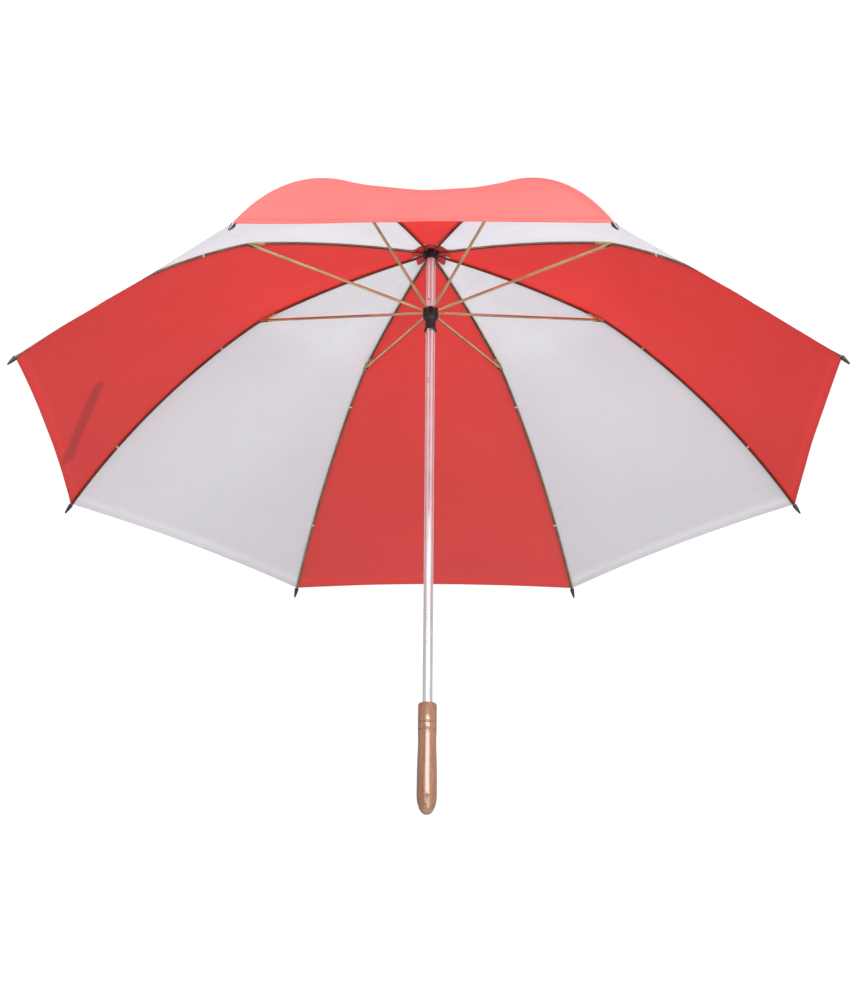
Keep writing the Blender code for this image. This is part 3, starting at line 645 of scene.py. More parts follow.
def canopy_point(panel, across, distance, height):
    """A point of a panel. across is -1 at rib number panel and 1 at the next one."""
    scallop = RIM_SCALLOPS[panel - 1] * (1 - across * across)
    shortened = distance * (1 - scallop / FABRIC_LENGTH)
    radius, level, slope = rib_point(shortened)
    rise = height + ripple(panel, across, distance) + pull_lines(across, distance)
    radius += rise * math.sin(slope)
    crown = max(0.0, 1 - max(0.0, radius - CROWN_FLAT) / CROWN_SPREAD)
    level += rise * math.cos(slope) + CROWN_LIFT * crown**2
    share = min(radius / RIM_RADIUS, 1.0)
    sag = PANEL_SAG * math.sin(math.pi * share) * (1 - (1 - share) ** 6) * valley(across)
    inward = radius * math.cos(HALF_GORE) - sag * math.sin(slope)
    sideways = radius * math.sin(HALF_GORE) * across
    angle = azimuth_of(panel) + HALF_GORE
    return Vector(
        (
            inward * math.cos(angle) - sideways * math.sin(angle),
            inward * math.sin(angle) + sideways * math.cos(angle),
            PIVOT_HEIGHT + level - sag * math.cos(slope),
        )
    )


def half_gore_columns(distance):
    """(across from the rib as 0 to 1, seam or not) for one row of a half gore."""
    half_width = rib_point(distance)[0] * math.sin(HALF_GORE)
    seam = min(SEAM_WIDTH / half_width, 0.45)
    step = min(0.3 * MM / half_width, 0.05)
    guard = 0.03
    columns = [(0.0, True), (seam * 0.5, True), (seam, True), (seam + step, False)]
    count = 12
    start = seam + step
    for index in range(1, count + 1):
        columns.append((start + (1 - guard - start) * index / count, False))
    columns.append((1.0, False))
    return columns


def row_distances(first, last, count, hem):
    """(distance, hem or not) of a half gore's rows, with a narrow row at each end."""
    guard = 1.5 * MM
    stop = last - (HEM_WIDTH + 0.3 * MM if hem else guard)
    rows = [(first, False)]
    for index in range(count + 1):
        rows.append((first + guard + (stop - first - guard) * index / count, False))
    if hem:
        rows += [(last - HEM_WIDTH, True), (last - HEM_WIDTH / 2, True)]
    rows.append((last, hem))
    return rows


def half_gore_mesh(name, panel, side, rows):
    """Half a panel, rib to middle; side is -1 beside rib number panel, 1 beside the next rib."""
    work = bmesh.new()
    layer = work.loops.layers.uv.new("cloth")
    sheets = []
    spots = {}
    for top in (False, True):
        sheet = []
        for distance, in_hem in rows:
            line = []
            half_width = rib_point(distance)[0] * math.sin(HALF_GORE)
            for share, in_seam in half_gore_columns(distance):
                across = side * (1 - share)
                doubled = FOLDED_EXTRA if (in_seam or in_hem) else 0.0
                height = FABRIC_OFFSET + (FABRIC_THICKNESS + doubled if top else 0.0)
                vertex = work.verts.new(canopy_point(panel, across, distance, height))
                spots[vertex] = (half_width * share, distance)
                line.append(vertex)
            sheet.append(line)
        sheets.append(sheet)
    low, high = sheets
    last_row, last_column = len(rows) - 1, len(low[0]) - 1
    for sheet in sheets:
        for row in range(last_row):
            for column in range(last_column):
                near, far = sheet[row], sheet[row + 1]
                work.faces.new((near[column], near[column + 1], far[column + 1], far[column]))
    walls = []
    for row in range(last_row):
        for column in (0, last_column):
            pair = (low[row][column], low[row + 1][column])
            walls.append(work.faces.new((*pair, high[row + 1][column], high[row][column])))
    for column in range(last_column):
        for row in (0, last_row):
            pair = (low[row][column], low[row][column + 1])
            walls.append(work.faces.new((*pair, high[row][column + 1], high[row][column])))
    for wall in walls:
        for edge in wall.edges:
            edge.smooth = all(face in walls for face in edge.link_faces)
    for face in work.faces:
        for loop in face.loops:
            loop[layer].uv = spots[loop.vert]
    bmesh.ops.recalc_face_normals(work, faces=work.faces)
    for face in work.faces:
        face.smooth = True
    return finished(name, work)


def canopy_sheet(rib, side, zone, first, last, count, hem=False):
    """Half a panel beside a rib between two distances along it."""
    panel = rib if side > 0 else (rib - 2) % RIB_COUNT + 1
    name = f"canopy_{panel}_rib_{rib}_{zone}"
    mesh = half_gore_mesh(name, panel, -side, row_distances(first, last, count, hem))
    made = shown(name, mesh, "red" if panel % 2 == 0 else "white")
    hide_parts(f"canopy_panel_{panel}")
    return made


# Zones of a half gore from the crown to the rim: name, end, rows, body of the rib, share kept when
# folded, tilt and lift of the folded cloth.
ZONES = (
    ("shoulder", 85 * MM, 8, "inner", 0.38, INNER_TILT, FOLD_LIFT),
    ("upper", 150 * MM, 8, "inner", 0.24, INNER_TILT, FOLD_LIFT),
    ("inner", INNER_LENGTH, 16, "inner", 0.18, INNER_TILT, FOLD_LIFT),
    ("knee", INNER_LENGTH + 90 * MM, 10, "outer", 0.155, OUTER_TILT, 0.0),
    ("outer", FABRIC_LENGTH, 28, "outer", 0.142, OUTER_TILT, 0.0),
)


def fold_to_rib(made, rib, middle, lift):
    """Gives the cloth its own copy of its mesh."""
    along_rib(rib, middle, FABRIC_OFFSET + lift)
    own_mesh(made)


def build_half_gore(rib, side):
    """The cloth on one side of a rib. The crown stays where it is built; the rest rides the bodies of the
    rib.
    """
    crown = canopy_sheet(rib, side, "crown", CROWN_START, CROWN_END, 10)
    bend = along_rib(rib, 0.5 * MM), along_rib(rib, CROWN_END / 2)
    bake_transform(crown)
    start = CROWN_END
    for zone, end, count, part, share, tilt, lift in ZONES:
        made = canopy_sheet(rib, side, zone, start, end, count, hem=zone == "outer")
        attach(made, f"{part}_rib_{rib}")
        fold_to_rib(made, rib, (start + end) / 2, lift)
        start = end


# ---------------------------------------------------------------- ribs, stretchers, cups


def channel_outline(width, depth, opens_down):
    """Rounded U section as (sideways, upward) points."""
    side = width / 2
    rise = depth / 2
    wall = CHANNEL_WALL
    turn = 0.9 * MM
    outer = []
    inner = []
    steps = 4
    for step in range(steps + 1):
        angle = math.pi / 2 * step / steps
        outer.append((side - turn + turn * math.cos(angle), rise - turn + turn * math.sin(angle)))
        small = turn - wall
        inner.append((side - turn + small * math.cos(angle), rise - turn + small * math.sin(angle)))
    outer = [(side, -rise)] + outer
    inner = [(side - wall, -rise)] + inner
    left_outer = [(-x, y) for x, y in reversed(outer)]
    left_inner = [(-x, y) for x, y in reversed(inner)]
    points = outer + left_outer + list(reversed(left_inner)) + list(reversed(inner))
    if opens_down:
        return points
    return [(sideways, -upward) for sideways, upward in points]


def eyelet_plate(name, half, radius, hole, tail, tail_half, direction):
    """A flat tab in XZ with a round eye about the origin and a tail along a direction."""
    steps = 24
    outer = []
    inner = []
    for step in range(steps):
        angle = 2 * math.pi * step / steps
        x, z = math.cos(angle), math.sin(angle)
        inner.append((hole * x, hole * z))
        if x > 0.3:
            outer.append((tail, tail_half * z / math.sin(math.acos(0.3))))
        else:
            outer.append((radius * x, radius * z))
    turn = Matrix.Rotation(-direction, 3, "Y")
    rings = []
    for outline, side in ((outer, -half), (outer, half), (inner, half), (inner, -half), (outer, -half)):
        rings.append([turn @ Vector((x, side, z)) for x, z in outline])
    return welded(skin(name, rings, capped=False))


def moved_to_rib(mesh, rib, radius, height):
    """A mesh drawn in XZ about the origin, moved to a point of that rib; height is above the notch pivots."""
    mesh.transform(Matrix.Translation((radius, 0, PIVOT_HEIGHT + height)))
    mesh.transform(Matrix.Rotation(azimuth_of(rib), 4, "Z"))
    return mesh


def rib_mesh(rib):
    """One channel from the notch to the tip cup, with the flat eye that the notch wire holds."""
    begin = 10 * MM
    end = RIB_LENGTH - CUP_LENGTH / 2
    outline = channel_outline(RIB_WIDTH, RIB_DEPTH, opens_down=True)
    count = 96
    rings = []
    for index in range(count + 1):
        distance = begin + (end - begin) * index / count
        narrow = 0.45 + 0.55 * eased(min(1.0, (distance - begin) / (5 * MM)))
        rings.append([along_rib(rib, distance, rise, side * narrow) for side, rise in outline])
    body = skin("rib_body", rings)
    fall = slope_at(0)
    tab = eyelet_plate("rib_eye", TAB_HALF, 1.7 * MM, EYE_RADIUS, begin + 3 * MM, 1.3 * MM, -fall)
    return joined("rib", [body, moved_to_rib(tab, rib, PIVOT_RADIUS, 0)])


def placed_at_knee(mesh, rib):
    """A mesh drawn about the stretcher's pivot, in XZ, moved to that rib."""
    radius, height, _ = rib_point(INNER_LENGTH)
    return moved_to_rib(mesh, rib, radius, height)


def slanted_plate(name, low, high, head, tail, head_radius, tail_half, direction):
    """A rounded plate in XZ from y = low to high, with a round head about the origin."""
    points = []
    steps = 12
    for step in range(steps + 1):
        angle = math.pi / 2 + math.pi * step / steps
        points.append((head + head_radius * math.cos(angle), head_radius * math.sin(angle)))
    corner = 0.8 * MM
    for side in (-1, 1):
        for step in range(4):
            angle = math.pi / 2 * step / 3
            turn = math.sin(angle) if side < 0 else math.cos(angle)
            other = math.cos(angle) if side < 0 else math.sin(angle)
            points.append((tail - corner + corner * turn, side * (tail_half - corner + corner * other)))
    turn = Matrix.Rotation(-direction, 3, "Y")
    rings = [[turn @ Vector((x, y, z)) for x, z in points] for y in (low, high)]
    return skin(name, rings)


def rivet(name, half_length, radius):
    """A pin along Y with a domed head at each end."""
    outline = [(0, -half_length - 0.7 * MM)]
    outline += [(radius * 1.3, -half_length - 0.45 * MM), (radius * 1.6, -half_length)]
    outline += [(radius, -half_length + 0.05 * MM), (radius, half_length - 0.05 * MM)]
    outline += [(radius * 1.6, half_length), (radius * 1.3, half_length + 0.45 * MM)]
    outline.append((0, half_length + 0.7 * MM))
    mesh = turned(name, outline, 20)
    mesh.transform(Matrix.Rotation(math.pi / 2, 4, "X"))
    return mesh


def bracket_mesh(rib):
    """The clip crimped round the rib, with the two ears and the rivet that hold the stretcher."""
    fall = slope_at(INNER_LENGTH - 18 * MM)
    width, rise = 2.5 * MM, 2.05 * MM
    outline = []
    for index in range(24):
        angle = 2 * math.pi * index / 24
        x, z = math.cos(angle), math.sin(angle)
        strength = (abs(x) ** 5 + abs(z) ** 5) ** (-1 / 5)
        outline.append((width * x * strength, rise * z * strength))
    rings = []
    for distance, swell in ((-26, 0.9), (-25.4, 1.0), (-11.6, 1.0), (-11, 0.9)):
        spot = Vector((distance * MM * math.cos(fall), 0, -distance * MM * math.sin(fall)))
        up = Vector((math.sin(fall), 0, math.cos(fall)))
        rings.append([spot + Vector((0, y * swell, 0)) + up * z * swell for y, z in outline])
    clip = skin("clip", rings)
    back = math.pi - fall
    ears = []
    for side in (-1, 1):
        low, high = sorted((side * 2.75 * MM, side * 3.35 * MM))
        ears.append(slanted_plate("ear", low, high, 0, 15 * MM, 2.3 * MM, 1.8 * MM, back))
        joggle = []
        for y, distance in ((2.2, -14.5), (2.9, -12.5)):
            spot = Vector((distance * MM * math.cos(fall), side * y * MM, -distance * MM * math.sin(fall)))
            joggle.append(spot)
        ears.append(tube("joggle", joggle, 0.9 * MM, 10))
    return placed_at_knee(joined("bracket", [clip, *ears, rivet("rivet", 3.35 * MM, 0.9 * MM)]), rib)


def stretcher_mesh(rib):
    """A channel from the runner to the rib: flat eye below, fork that straddles the rib above."""
    inward = math.pi + INNER_FALL
    ahead = Vector((math.cos(INNER_FALL), 0, math.sin(INNER_FALL)))
    up = Vector((-math.sin(INNER_FALL), 0, math.cos(INNER_FALL)))
    foot = -ahead * INNER_CHORD
    outline = channel_outline(STRETCHER_WIDTH, STRETCHER_DEPTH, opens_down=False)
    begin, end = 12 * MM, INNER_CHORD - 13 * MM
    count = 48
    rings = []
    for index in range(count + 1):
        distance = begin + (end - begin) * index / count
        near = min(1.0, (distance - begin) / (7 * MM))
        far = min(1.0, (end - distance) / (7 * MM))
        width = 0.42 + 0.58 * eased(near) + 0.14 * (1 - eased(far))
        spot = foot + ahead * distance
        rings.append([spot + Vector((0, y * width, 0)) + up * z for y, z in outline])
    parts = [skin("stretcher_body", rings)]
    for side in (-1, 1):
        low, high = sorted((side * 1.95 * MM, side * 2.55 * MM))
        parts.append(slanted_plate("fork", low, high, 0, 19 * MM, 2.1 * MM, 1.5 * MM, inward))
    tab = eyelet_plate("eye", TAB_HALF, 1.7 * MM, EYE_RADIUS, 15 * MM, 1.4 * MM, INNER_FALL)
    tab.transform(Matrix.Translation(foot))
    parts.append(tab)
    return placed_at_knee(joined("stretcher", parts), rib)


def cup_mesh(rib):
    """Pointed moulded cup on the rib's end, with a bead at its mouth."""
    outline = [
        (0, CUP_LENGTH),
        (0.7 * MM, CUP_LENGTH - 0.1 * MM),
        (1.3 * MM, CUP_LENGTH - 0.8 * MM),
        (1.6 * MM, CUP_LENGTH - 2.2 * MM),
        (2.5 * MM, 9.5 * MM),
        (3.1 * MM, 5.5 * MM),
        (3.2 * MM, 2.4 * MM),
        (CUP_RADIUS - 0.1 * MM, 1.8 * MM),
        (CUP_RADIUS, 1.0 * MM),
        (CUP_RADIUS - 0.2 * MM, 0.1 * MM),
        (2.9 * MM, 0),
        (2.8 * MM, 0.4 * MM),
        (2.8 * MM, 8 * MM),
        (0, 8.2 * MM),
    ]
    mesh = turned("cup", outline, 32)
    distance = RIB_LENGTH - CUP_LENGTH
    radius, height, slope = rib_point(distance + CUP_LENGTH / 2)
    mesh.transform(Matrix.Translation((0, 0, -CUP_LENGTH / 2)))
    mesh.transform(Matrix.Rotation(math.pi / 2 + slope, 4, "Y"))
    return moved_to_rib(mesh, rib, radius, height)


def tie_mesh(rib, distance):
    """Thread that sews the seam to the rib: three turns round the channel and a small knot."""
    points = []
    turns, steps = 3, 16
    half, rise = RIB_WIDTH / 2 + 0.45 * MM, RIB_DEPTH / 2 + 0.45 * MM
    for index in range(turns * steps + 1):
        angle = 2 * math.pi * index / steps
        x, z = math.cos(angle), math.sin(angle)
        strength = (abs(x) ** 4 + abs(z) ** 4) ** (-1 / 4)
        shift = (index / steps - turns / 2) * 0.95 * MM
        points.append(along_rib(rib, distance + shift, rise * z * strength, half * x * strength))
    knot = []
    for index in range(9):
        angle = 2 * math.pi * index / 8
        side = half + 0.3 * MM + 0.35 * MM * math.cos(angle)
        knot.append(along_rib(rib, distance + 0.5 * MM * math.sin(angle), -rise * 0.4, side))
    return joined("tie", [tube("turns", points, 0.42 * MM, 8), tube("knot", knot, 0.5 * MM, 8)])


def build_rib(rib):
    """Everything that belongs to one rib."""
    made = shown(f"rib_{rib}", rib_mesh(rib), "rib")
    before = along_rib(rib, INNER_LENGTH - 25 * MM)
    after = along_rib(rib, INNER_LENGTH + 25 * MM)
    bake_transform(made)
    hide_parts(f"rib_inner_{rib}", f"rib_outer_{rib}")
    piece(f"rib_bracket_{rib}", bracket_mesh(rib), "stretcher", f"inner_rib_{rib}", [f"rib_inner_{rib}"])
    piece(f"stretcher_arm_{rib}", stretcher_mesh(rib), "stretcher", f"stretcher_{rib}", [f"stretcher_{rib}"])
    piece(f"rib_cup_{rib}", cup_mesh(rib), "cup", f"outer_rib_{rib}", [f"tip_cup_{rib}"])
    for number, distance in enumerate(TIE_DISTANCES, 1):
        piece(f"rib_tie_{rib}_{number}", tie_mesh(rib, distance), "thread", f"outer_rib_{rib}")


# ---------------------------------------------------------------- strap and rosette


STRAP_PANEL = 4
STRAP_WIDTH = 25 * MM
STRAP_RIM = (-0.515, FABRIC_LENGTH - 16 * MM)
STRAP_FREE = (0.06, FABRIC_LENGTH - 116 * MM)
ROSETTE_BORE = 7.4 * MM
ROSETTE_DROOP = 2.6 * MM
ROSETTE_LOBE_DROOP = 8.5 * MM


def strap_mesh():
    """The closing strap: a folded band sewn at the rim, lying on the outside of its panel."""
    rings = []
    count = 30
    lift = FABRIC_OFFSET + FABRIC_THICKNESS + FOLDED_EXTRA + 0.1 * MM
    thickness = 0.9 * MM
    for step in range(count + 1):
        along = step / count
        spots = []
        for extra in (0.0, 0.02):
            across = STRAP_RIM[0] + (STRAP_FREE[0] - STRAP_RIM[0]) * (along + extra)
            distance = STRAP_RIM[1] + (STRAP_FREE[1] - STRAP_RIM[1]) * (along + extra)
            height = lift + 0.2 * MM * (1 + math.sin(9 * along))
            spots.append([canopy_point(STRAP_PANEL, across, distance, height + up) for up in (0, thickness)])
        (low, high), (ahead, _) = spots
        sideways = (ahead - low).cross(high - low).normalized()
        half = STRAP_WIDTH / 2 * min(1.0, 0.55 + 6 * (1 - along))
        edge = 0.25 * MM
        rings.append(
            [
                low - sideways * (half - edge),
                low + sideways * (half - edge),
                low.lerp(high, 0.5) + sideways * half,
                high + sideways * (half - edge),
                high - sideways * (half - edge),
                low.lerp(high, 0.5) - sideways * half,
            ]
        )
    return skin("strap", rings)


def build_strap():
    """The strap rides the outer part of rib 4, as the half panel that it lies on does."""
    mesh = strap_mesh()
    rib, side = STRAP_PANEL, 1
    # The strap's cloth is painted darker than the panels, as shade.
    made = piece("closing_band", mesh, "band", f"outer_rib_{rib}", ["closing_strap"])
    _, end, _, _, share, tilt, lift = ZONES[-1]
    start = ZONES[-2][1]
    fold_to_rib(made, rib, (start + end) / 2, lift)
    length = math.dist(canopy_point(STRAP_PANEL, *STRAP_RIM, 0), canopy_point(STRAP_PANEL, *STRAP_FREE, 0))


def rosette_mesh(rib):
    """One eighth of the scalloped cloth disc under the crown; the lobes hang between the ribs."""
    low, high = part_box("inner_rosette")
    outer_radius = (high.x - low.x) / 2
    count, steps = 14, 12
    thickness = 0.4 * MM
    rings = []
    for index in range(count + 1):
        angle = azimuth_of(rib) + HALF_GORE * (2 * index / count - 1)
        between = abs(math.sin(RIB_COUNT / 2 * (angle - azimuth_of(rib))))
        edge = outer_radius * (0.78 + 0.28 * between**0.7)
        slump = ROSETTE_LOBE_DROOP * (0.6 + 0.4 * math.sin(angle))
        ring = []
        for height in (0.0, thickness):
            line = []
            for step in range(steps + 1):
                share = step / steps
                radius = ROSETTE_BORE + (edge - ROSETTE_BORE) * share
                droop = share**1.5 * (ROSETTE_DROOP + slump * between**2)
                line.append((radius * math.cos(angle), radius * math.sin(angle), low.z + height - droop))
            ring += line if height == 0 else list(reversed(line))
        rings.append(ring)
    return skin("rosette", rings)


def build_rosette():
    """The disc, built as eight eighths, one beside each rib."""
    for rib in range(1, RIB_COUNT + 1):
        mesh = rosette_mesh(rib)
        made = shown(f"rosette_{rib}", mesh, "red")
        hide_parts("inner_rosette")
        along_rib(rib, 1 * MM)
        along_rib(rib, 8 * MM)
        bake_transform(made)


# ---------------------------------------------------------------- shaft, grip, hub


def carved(mesh, cutters):
    """The mesh with the cutters taken away."""
    base = bpy.data.objects.new("base", mesh)
    cutter = bpy.data.objects.new("cutter", joined("cutter", cutters))
    for thing in (base, cutter):
        bpy.context.scene.collection.objects.link(thing)
    change = base.modifiers.new("cut", "BOOLEAN")
    change.operation = "DIFFERENCE"
    change.solver = "EXACT"
    change.object = cutter
    bpy.context.view_layer.update()
    evaluated = base.evaluated_get(bpy.context.evaluated_depsgraph_get())
    result = bpy.data.meshes.new_from_object(evaluated)
    for thing in (base, cutter):
        bpy.data.objects.remove(thing)
    return smoothed(result)


def box_mesh(low, high, azimuth=0.0):
    corners = [(low[0], low[1]), (high[0], low[1]), (high[0], high[1]), (low[0], high[1])]
    mesh = skin("box", [[(x, y, z) for x, y in corners] for z in (low[2], high[2])])
    mesh.transform(Matrix.Rotation(azimuth, 4, "Z"))
    return mesh


SHAFT_LOW, SHAFT_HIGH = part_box("shaft")
SHAFT_WALL = 0.8 * MM
BORE = SHAFT_HIGH.x + 0.3 * MM
SPRING_AZIMUTHS = {"top_spring": math.radians(250), "hand_spring": math.radians(70)}
SLOT_HALF = 1.3 * MM
SLOT_SPARE = 1.2 * MM
LEAF_HALF = 1.2 * MM
CATCH_LENGTH = 20 * MM
CATCH_RADIUS = 9.6 * MM
RIVET_DROP = 6 * MM


def build_shaft():
    """Smooth plated tube with the two spring slots and the stop pin's hole."""
    outer, top, foot = SHAFT_HIGH.x, SHAFT_HIGH.z, SHAFT_LOW.z
    inner = outer - SHAFT_WALL
    lip = 0.15 * MM
    outline = [(inner, top), (outer - lip, top), (outer, top - lip), (outer, foot), (inner, foot)]
    slots = []
    for spring, azimuth in SPRING_AZIMUTHS.items():
        low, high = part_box(spring)
        slot_low = (4.6 * MM, -SLOT_HALF, low.z - SLOT_SPARE)
        slot_high = (11 * MM, SLOT_HALF, high.z + SLOT_SPARE)
        slots.append(box_mesh(slot_low, slot_high, azimuth))
    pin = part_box("stop_pin")
    height = (pin[0].z + pin[1].z) / 2
    away = direction(SPRING_AZIMUTHS["top_spring"])
    hole_ends = [away * side * 12 * MM + Vector((0, 0, height)) for side in (-1, 1)]
    hole = tube("hole", hole_ends, (pin[1].z - pin[0].z) / 2 + 0.2 * MM, 20)
    mesh = carved(turned("tube", outline, 96), [*slots, hole])
    piece("tube", mesh, "chrome", "root", ["shaft"])


def build_spring_rivet():
    """Small rivet through the tube under the upper spring."""
    outer = SHAFT_HIGH.x
    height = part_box("top_spring")[0].z - RIVET_DROP
    away = direction(SPRING_AZIMUTHS["top_spring"])
    ends = [away * reach + Vector((0, 0, height)) for reach in (outer - 0.6 * MM, outer + 0.15 * MM)]
    piece("spring_rivet", tube("spring_rivet", ends, 1.1 * MM, 20), "dark_steel", "root")


def build_spring(node, catch_up):
    """A leaf that nearly fills its slot, flush with the tube, and rises to its catch."""
    low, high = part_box(node)
    flush = SHAFT_HIGH.x - 0.05 * MM
    deep = flush - 1.0 * MM
    tip, root = (high.z, low.z) if catch_up else (low.z, high.z)
    way = 1 if catch_up else -1
    stations = [
        (root, flush - 0.5 * MM),
        (root + way * 0.6 * MM, flush),
        (tip - way * CATCH_LENGTH, flush),
        (tip - way * CATCH_LENGTH * 0.7, flush + 0.35 * MM),
        (tip - way * 2.4 * MM, CATCH_RADIUS - 0.35 * MM),
        (tip - way * 1.3 * MM, CATCH_RADIUS),
        (tip - way * 0.3 * MM, CATCH_RADIUS),
        (tip, CATCH_RADIUS - 0.3 * MM),
    ]
    rings = []
    for height, reach in stations:
        shares = [step / 4 for step in range(-4, 5)]
        crown = [(reach - share**2 * 0.11 * MM, LEAF_HALF * share) for share in shares]
        back = [(deep, LEAF_HALF), (deep, -LEAF_HALF)]
        rings.append([(x, y, height) for x, y in crown + back])
    mesh = skin("leaf", rings)
    mesh.transform(Matrix.Rotation(SPRING_AZIMUTHS[node], 4, "Z"))
    piece(f"{node}_leaf", mesh, "chrome", node, [node])


def build_grip():
    """Turned grip: rounded shoulder, two cut grooves, slight waist, round end."""
    low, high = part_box("handle")
    top = high.z
    depth = top - SHAFT_LOW.z + 0.6 * MM
    shoulder = [(BORE, 0), (11.6, 0), (12.9, 0.5), (13.4, 1.8), (13.4, 27.4)]
    for middle in (29.0, 40.0):
        shoulder += [(13.4, middle - 1.2), (13.2, middle - 0.8), (12.3, middle - 0.3), (12.3, middle + 0.3)]
        shoulder += [(13.2, middle + 0.8), (13.4, middle + 1.2)]
        if middle < 35:
            shoulder += [(13.4, 32.0), (13.4, 37.0)]
    body = [(13.15, 44.0), (12.9, 54.0), (13.2, 68.0), (13.7, 82.0), (14.1, 98.0), (14.25, 114.0)]
    body += [(14.3, 128.0), (14.25, 136.0)]
    radius, start = body[-1]
    length = (top - low.z) / MM - start
    steps = 14
    for step in range(1, steps):
        angle = math.pi / 2 * step / steps
        body.append((radius * math.cos(angle) ** 0.82, start + length * math.sin(angle) ** 1.15))
    outline = [(r * MM if r > 1 else r, top - d * MM) for r, d in shoulder + body]
    outline[0] = (BORE, top)
    outline.append((0, low.z))
    outline = [(0, top - depth), (BORE, top - depth)] + outline
    piece("grip", turned("grip", outline, 96), "wood", "root", ["handle"])


def build_grip_pin():
    """Cross pin of the grip, its peened ends just proud of the wood."""
    low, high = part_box("handle_pin")
    height = (low.z + high.z) / 2
    radius = (high.z - low.z) / 2
    reach = 13.55 * MM
    outline = [
        (0, -reach),
        (radius * 0.6, -reach + 0.05 * MM),
        (radius, -reach + 0.3 * MM),
        (radius, reach - 0.3 * MM),
        (radius * 0.6, reach - 0.05 * MM),
        (0, reach),
    ]
    mesh = turned("grip_pin", outline, 24)
    mesh.transform(Matrix.Rotation(math.pi / 2, 4, "X"))
    mesh.transform(Matrix.Translation((0, 0, height)))
    piece("grip_pin", mesh, "dark_steel", "root", ["handle_pin"])


def build_top():
    """Spike and domed washer above the crown."""
    base = PIVOT_HEIGHT + 15 * MM
    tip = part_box("top_ferrule")[1].z
    shaft_top = SHAFT_HIGH.z
    spike = [
        (0, shaft_top + 0.6 * MM),
        (BORE, shaft_top + 0.6 * MM),
        (BORE, base),
        (10.5 * MM, base),
        (10.5 * MM, base + 3 * MM),
        (9.0 * MM, base + 5 * MM),
        (8.6 * MM, shaft_top + 4 * MM),
        (7.4 * MM, shaft_top + 16 * MM),
        (5.4 * MM, tip - 5 * MM),
        (4.9 * MM, tip - 0.8 * MM),
        (4.2 * MM, tip),
        (0, tip),
    ]
    piece("spike", turned("spike", rounded(spike, 0.7 * MM)), "hub", "root", ["top_ferrule"])
    low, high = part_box("crown_cap")
    edge = high.x
    washer = [
        (BORE, high.z),
        (11.0 * MM, high.z),
        (edge - 2 * MM, high.z - 0.7 * MM),
        (edge, low.z + 0.5 * MM),
        (edge, low.z),
        (edge - 1 * MM, low.z),
        (BORE, low.z + 0.4 * MM),
    ]
    piece("crown_washer", turned("crown_washer", rounded(washer, 0.35 * MM)), "hub", "root", ["crown_cap"])


def build_wires():
    for name, height, body, node in (
        ("notch_ring", PIVOT_HEIGHT, "root", "notch_wire"),
        ("runner_ring", RUNNER_HEIGHT, "runner", "runner_wire"),
    ):
        mesh = tube(name, ring_points(PIVOT_RADIUS, height), 0.7 * MM, 10, closed=True)
        piece(name, mesh, "dark_steel", body, [node])


def dress_nodes():
    """Finishes for the CAD nodes that stay visible."""
    for name, look in (("notch", "hub"), ("runner", "hub"), ("stop_pin", "dark_steel")):
        node = nodes[name]
        node.data.materials.clear()
        node.data.materials.append(LOOKS[look])
        edges = node.modifiers.new("soft_edges", "BEVEL")
        edges.width = 0.25 * MM
        edges.segments = 2
        edges.limit_method = "ANGLE"


# ---------------------------------------------------------------- camera, light, floor


CAMERA_TURN = math.radians(1.004)
CAMERA_PLACE = Vector((0, -2.8857, -0.9008))
CAMERA_UP = math.radians(25.713)
CAMERA_YAW = math.radians(0.121)
CAMERA_ROLL = math.radians(0.516)
CAMERA_LENS = 77.875
SENSOR = 36.0


def build_camera():
    data = bpy.data.cameras.new("camera")
    data.lens = CAMERA_LENS
    data.sensor_width = SENSOR
    data.clip_start, data.clip_end = 0.05, 200
    camera = bpy.data.objects.new("camera", data)
    bpy.context.scene.collection.objects.link(camera)
    heading = Matrix.Rotation(CAMERA_TURN + CAMERA_YAW, 4, "Z")
    pitch = Matrix.Rotation(math.pi / 2 + CAMERA_UP, 4, "X")
    roll = Matrix.Rotation(CAMERA_ROLL, 4, "Z")
    place = Matrix.Rotation(CAMERA_TURN, 4, "Z") @ CAMERA_PLACE
    camera.matrix_world = Matrix.Translation(place) @ heading @ pitch @ roll
    bpy.context.scene.camera = camera


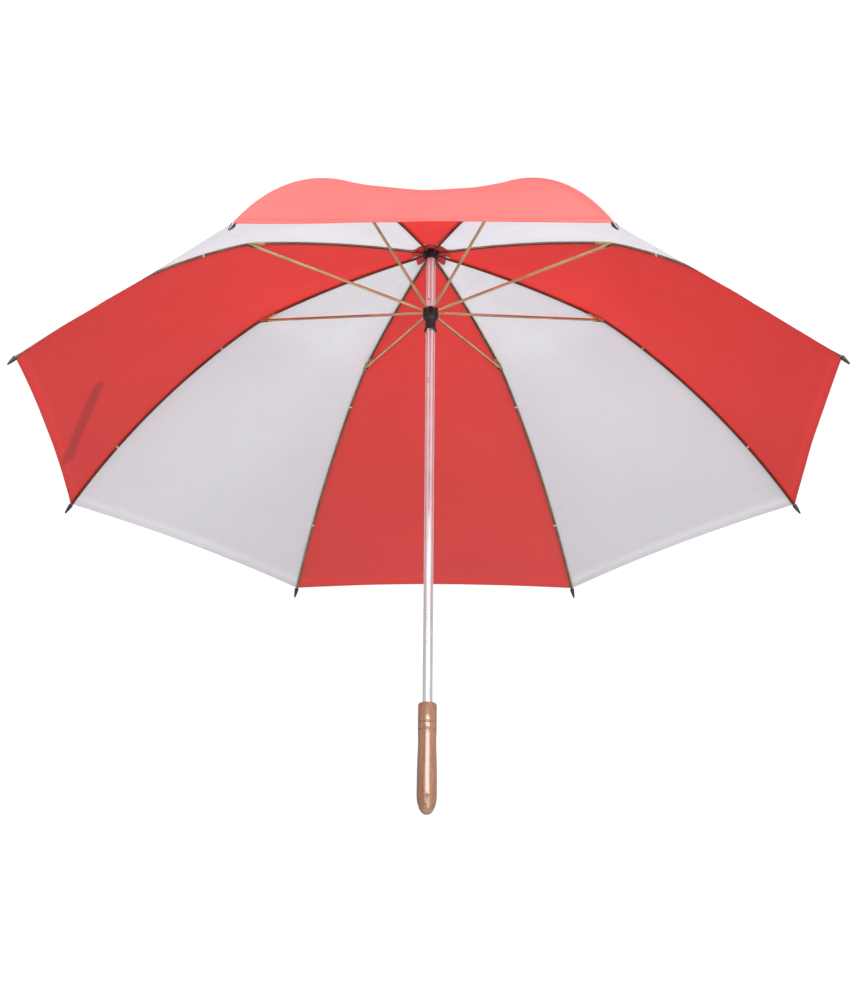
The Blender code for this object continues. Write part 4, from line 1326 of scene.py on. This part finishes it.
def area_light(name, place, target, size, power, color=(1, 1, 1)):
    data = bpy.data.lights.new(name, "AREA")
    data.shape = "RECTANGLE"
    data.size, data.size_y = size
    data.energy = power
    data.color = color
    light = bpy.data.objects.new(name, data)
    bpy.context.scene.collection.objects.link(light)
    light.location = place
    light.rotation_euler = (Vector(target) - Vector(place)).to_track_quat("-Z", "Y").to_euler()
    light.visible_camera = False


def build_light():
    """Even white surroundings and large soft lamps in front, low in front and above."""
    world = bpy.data.worlds.new("studio")
    bpy.context.scene.world = world
    world.use_nodes = True
    tree = world.node_tree
    tree.nodes.clear()
    seen = add(tree, "ShaderNodeBackground", {"Color": (1, 1, 1, 1), "Strength": 1.05})
    lit = add(tree, "ShaderNodeBackground", {"Color": (0.93, 0.95, 1.0, 1), "Strength": 0.49})
    ray = add(tree, "ShaderNodeLightPath")
    straight = ray.outputs["Is Camera Ray"]
    both = add(tree, "ShaderNodeMixShader", {0: straight, 1: lit.outputs[0], 2: seen.outputs[0]})
    add(tree, "ShaderNodeOutputWorld", {"Surface": both.outputs[0]})
    target = (0, 0, 0.75)
    area_light("strip", (0.6, -4.6, 1.8), (0.3, 0, 1.2), (4.0, 1.0), 100)
    area_light("front", (0.8, -4.6, -0.4), target, (5.0, 1.6), 72)
    area_light("low_front", (1.4, -3.2, -1.8), target, (2.0, 2.0), 46)
    area_light("above", (0.3, -1.5, 3.6), target, (2.4, 2.0), 268)


FLOOR_HEIGHT = -4.3
FLOOR_HALF = 40


def build_floor():
    work = bmesh.new()
    bmesh.ops.create_grid(work, x_segments=1, y_segments=1, size=FLOOR_HALF)
    made = new_object("studio_floor", finished("studio_floor", work), floor_paper())
    made.location = (0, 0, FLOOR_HEIGHT)


# ---------------------------------------------------------------- assembly


def main():
    for rib in range(1, RIB_COUNT + 1):
        build_rib(rib)
        for side in (-1, 1):
            build_half_gore(rib, side)
    build_strap()
    build_rosette()
    build_shaft()
    build_spring_rivet()
    build_spring("top_spring", catch_up=True)
    build_spring("hand_spring", catch_up=False)
    build_grip()
    build_grip_pin()
    build_top()
    build_wires()
    dress_nodes()
    build_camera()
    build_light()
    build_floor()
    bpy.context.scene.view_settings.view_transform = "Standard"


main()
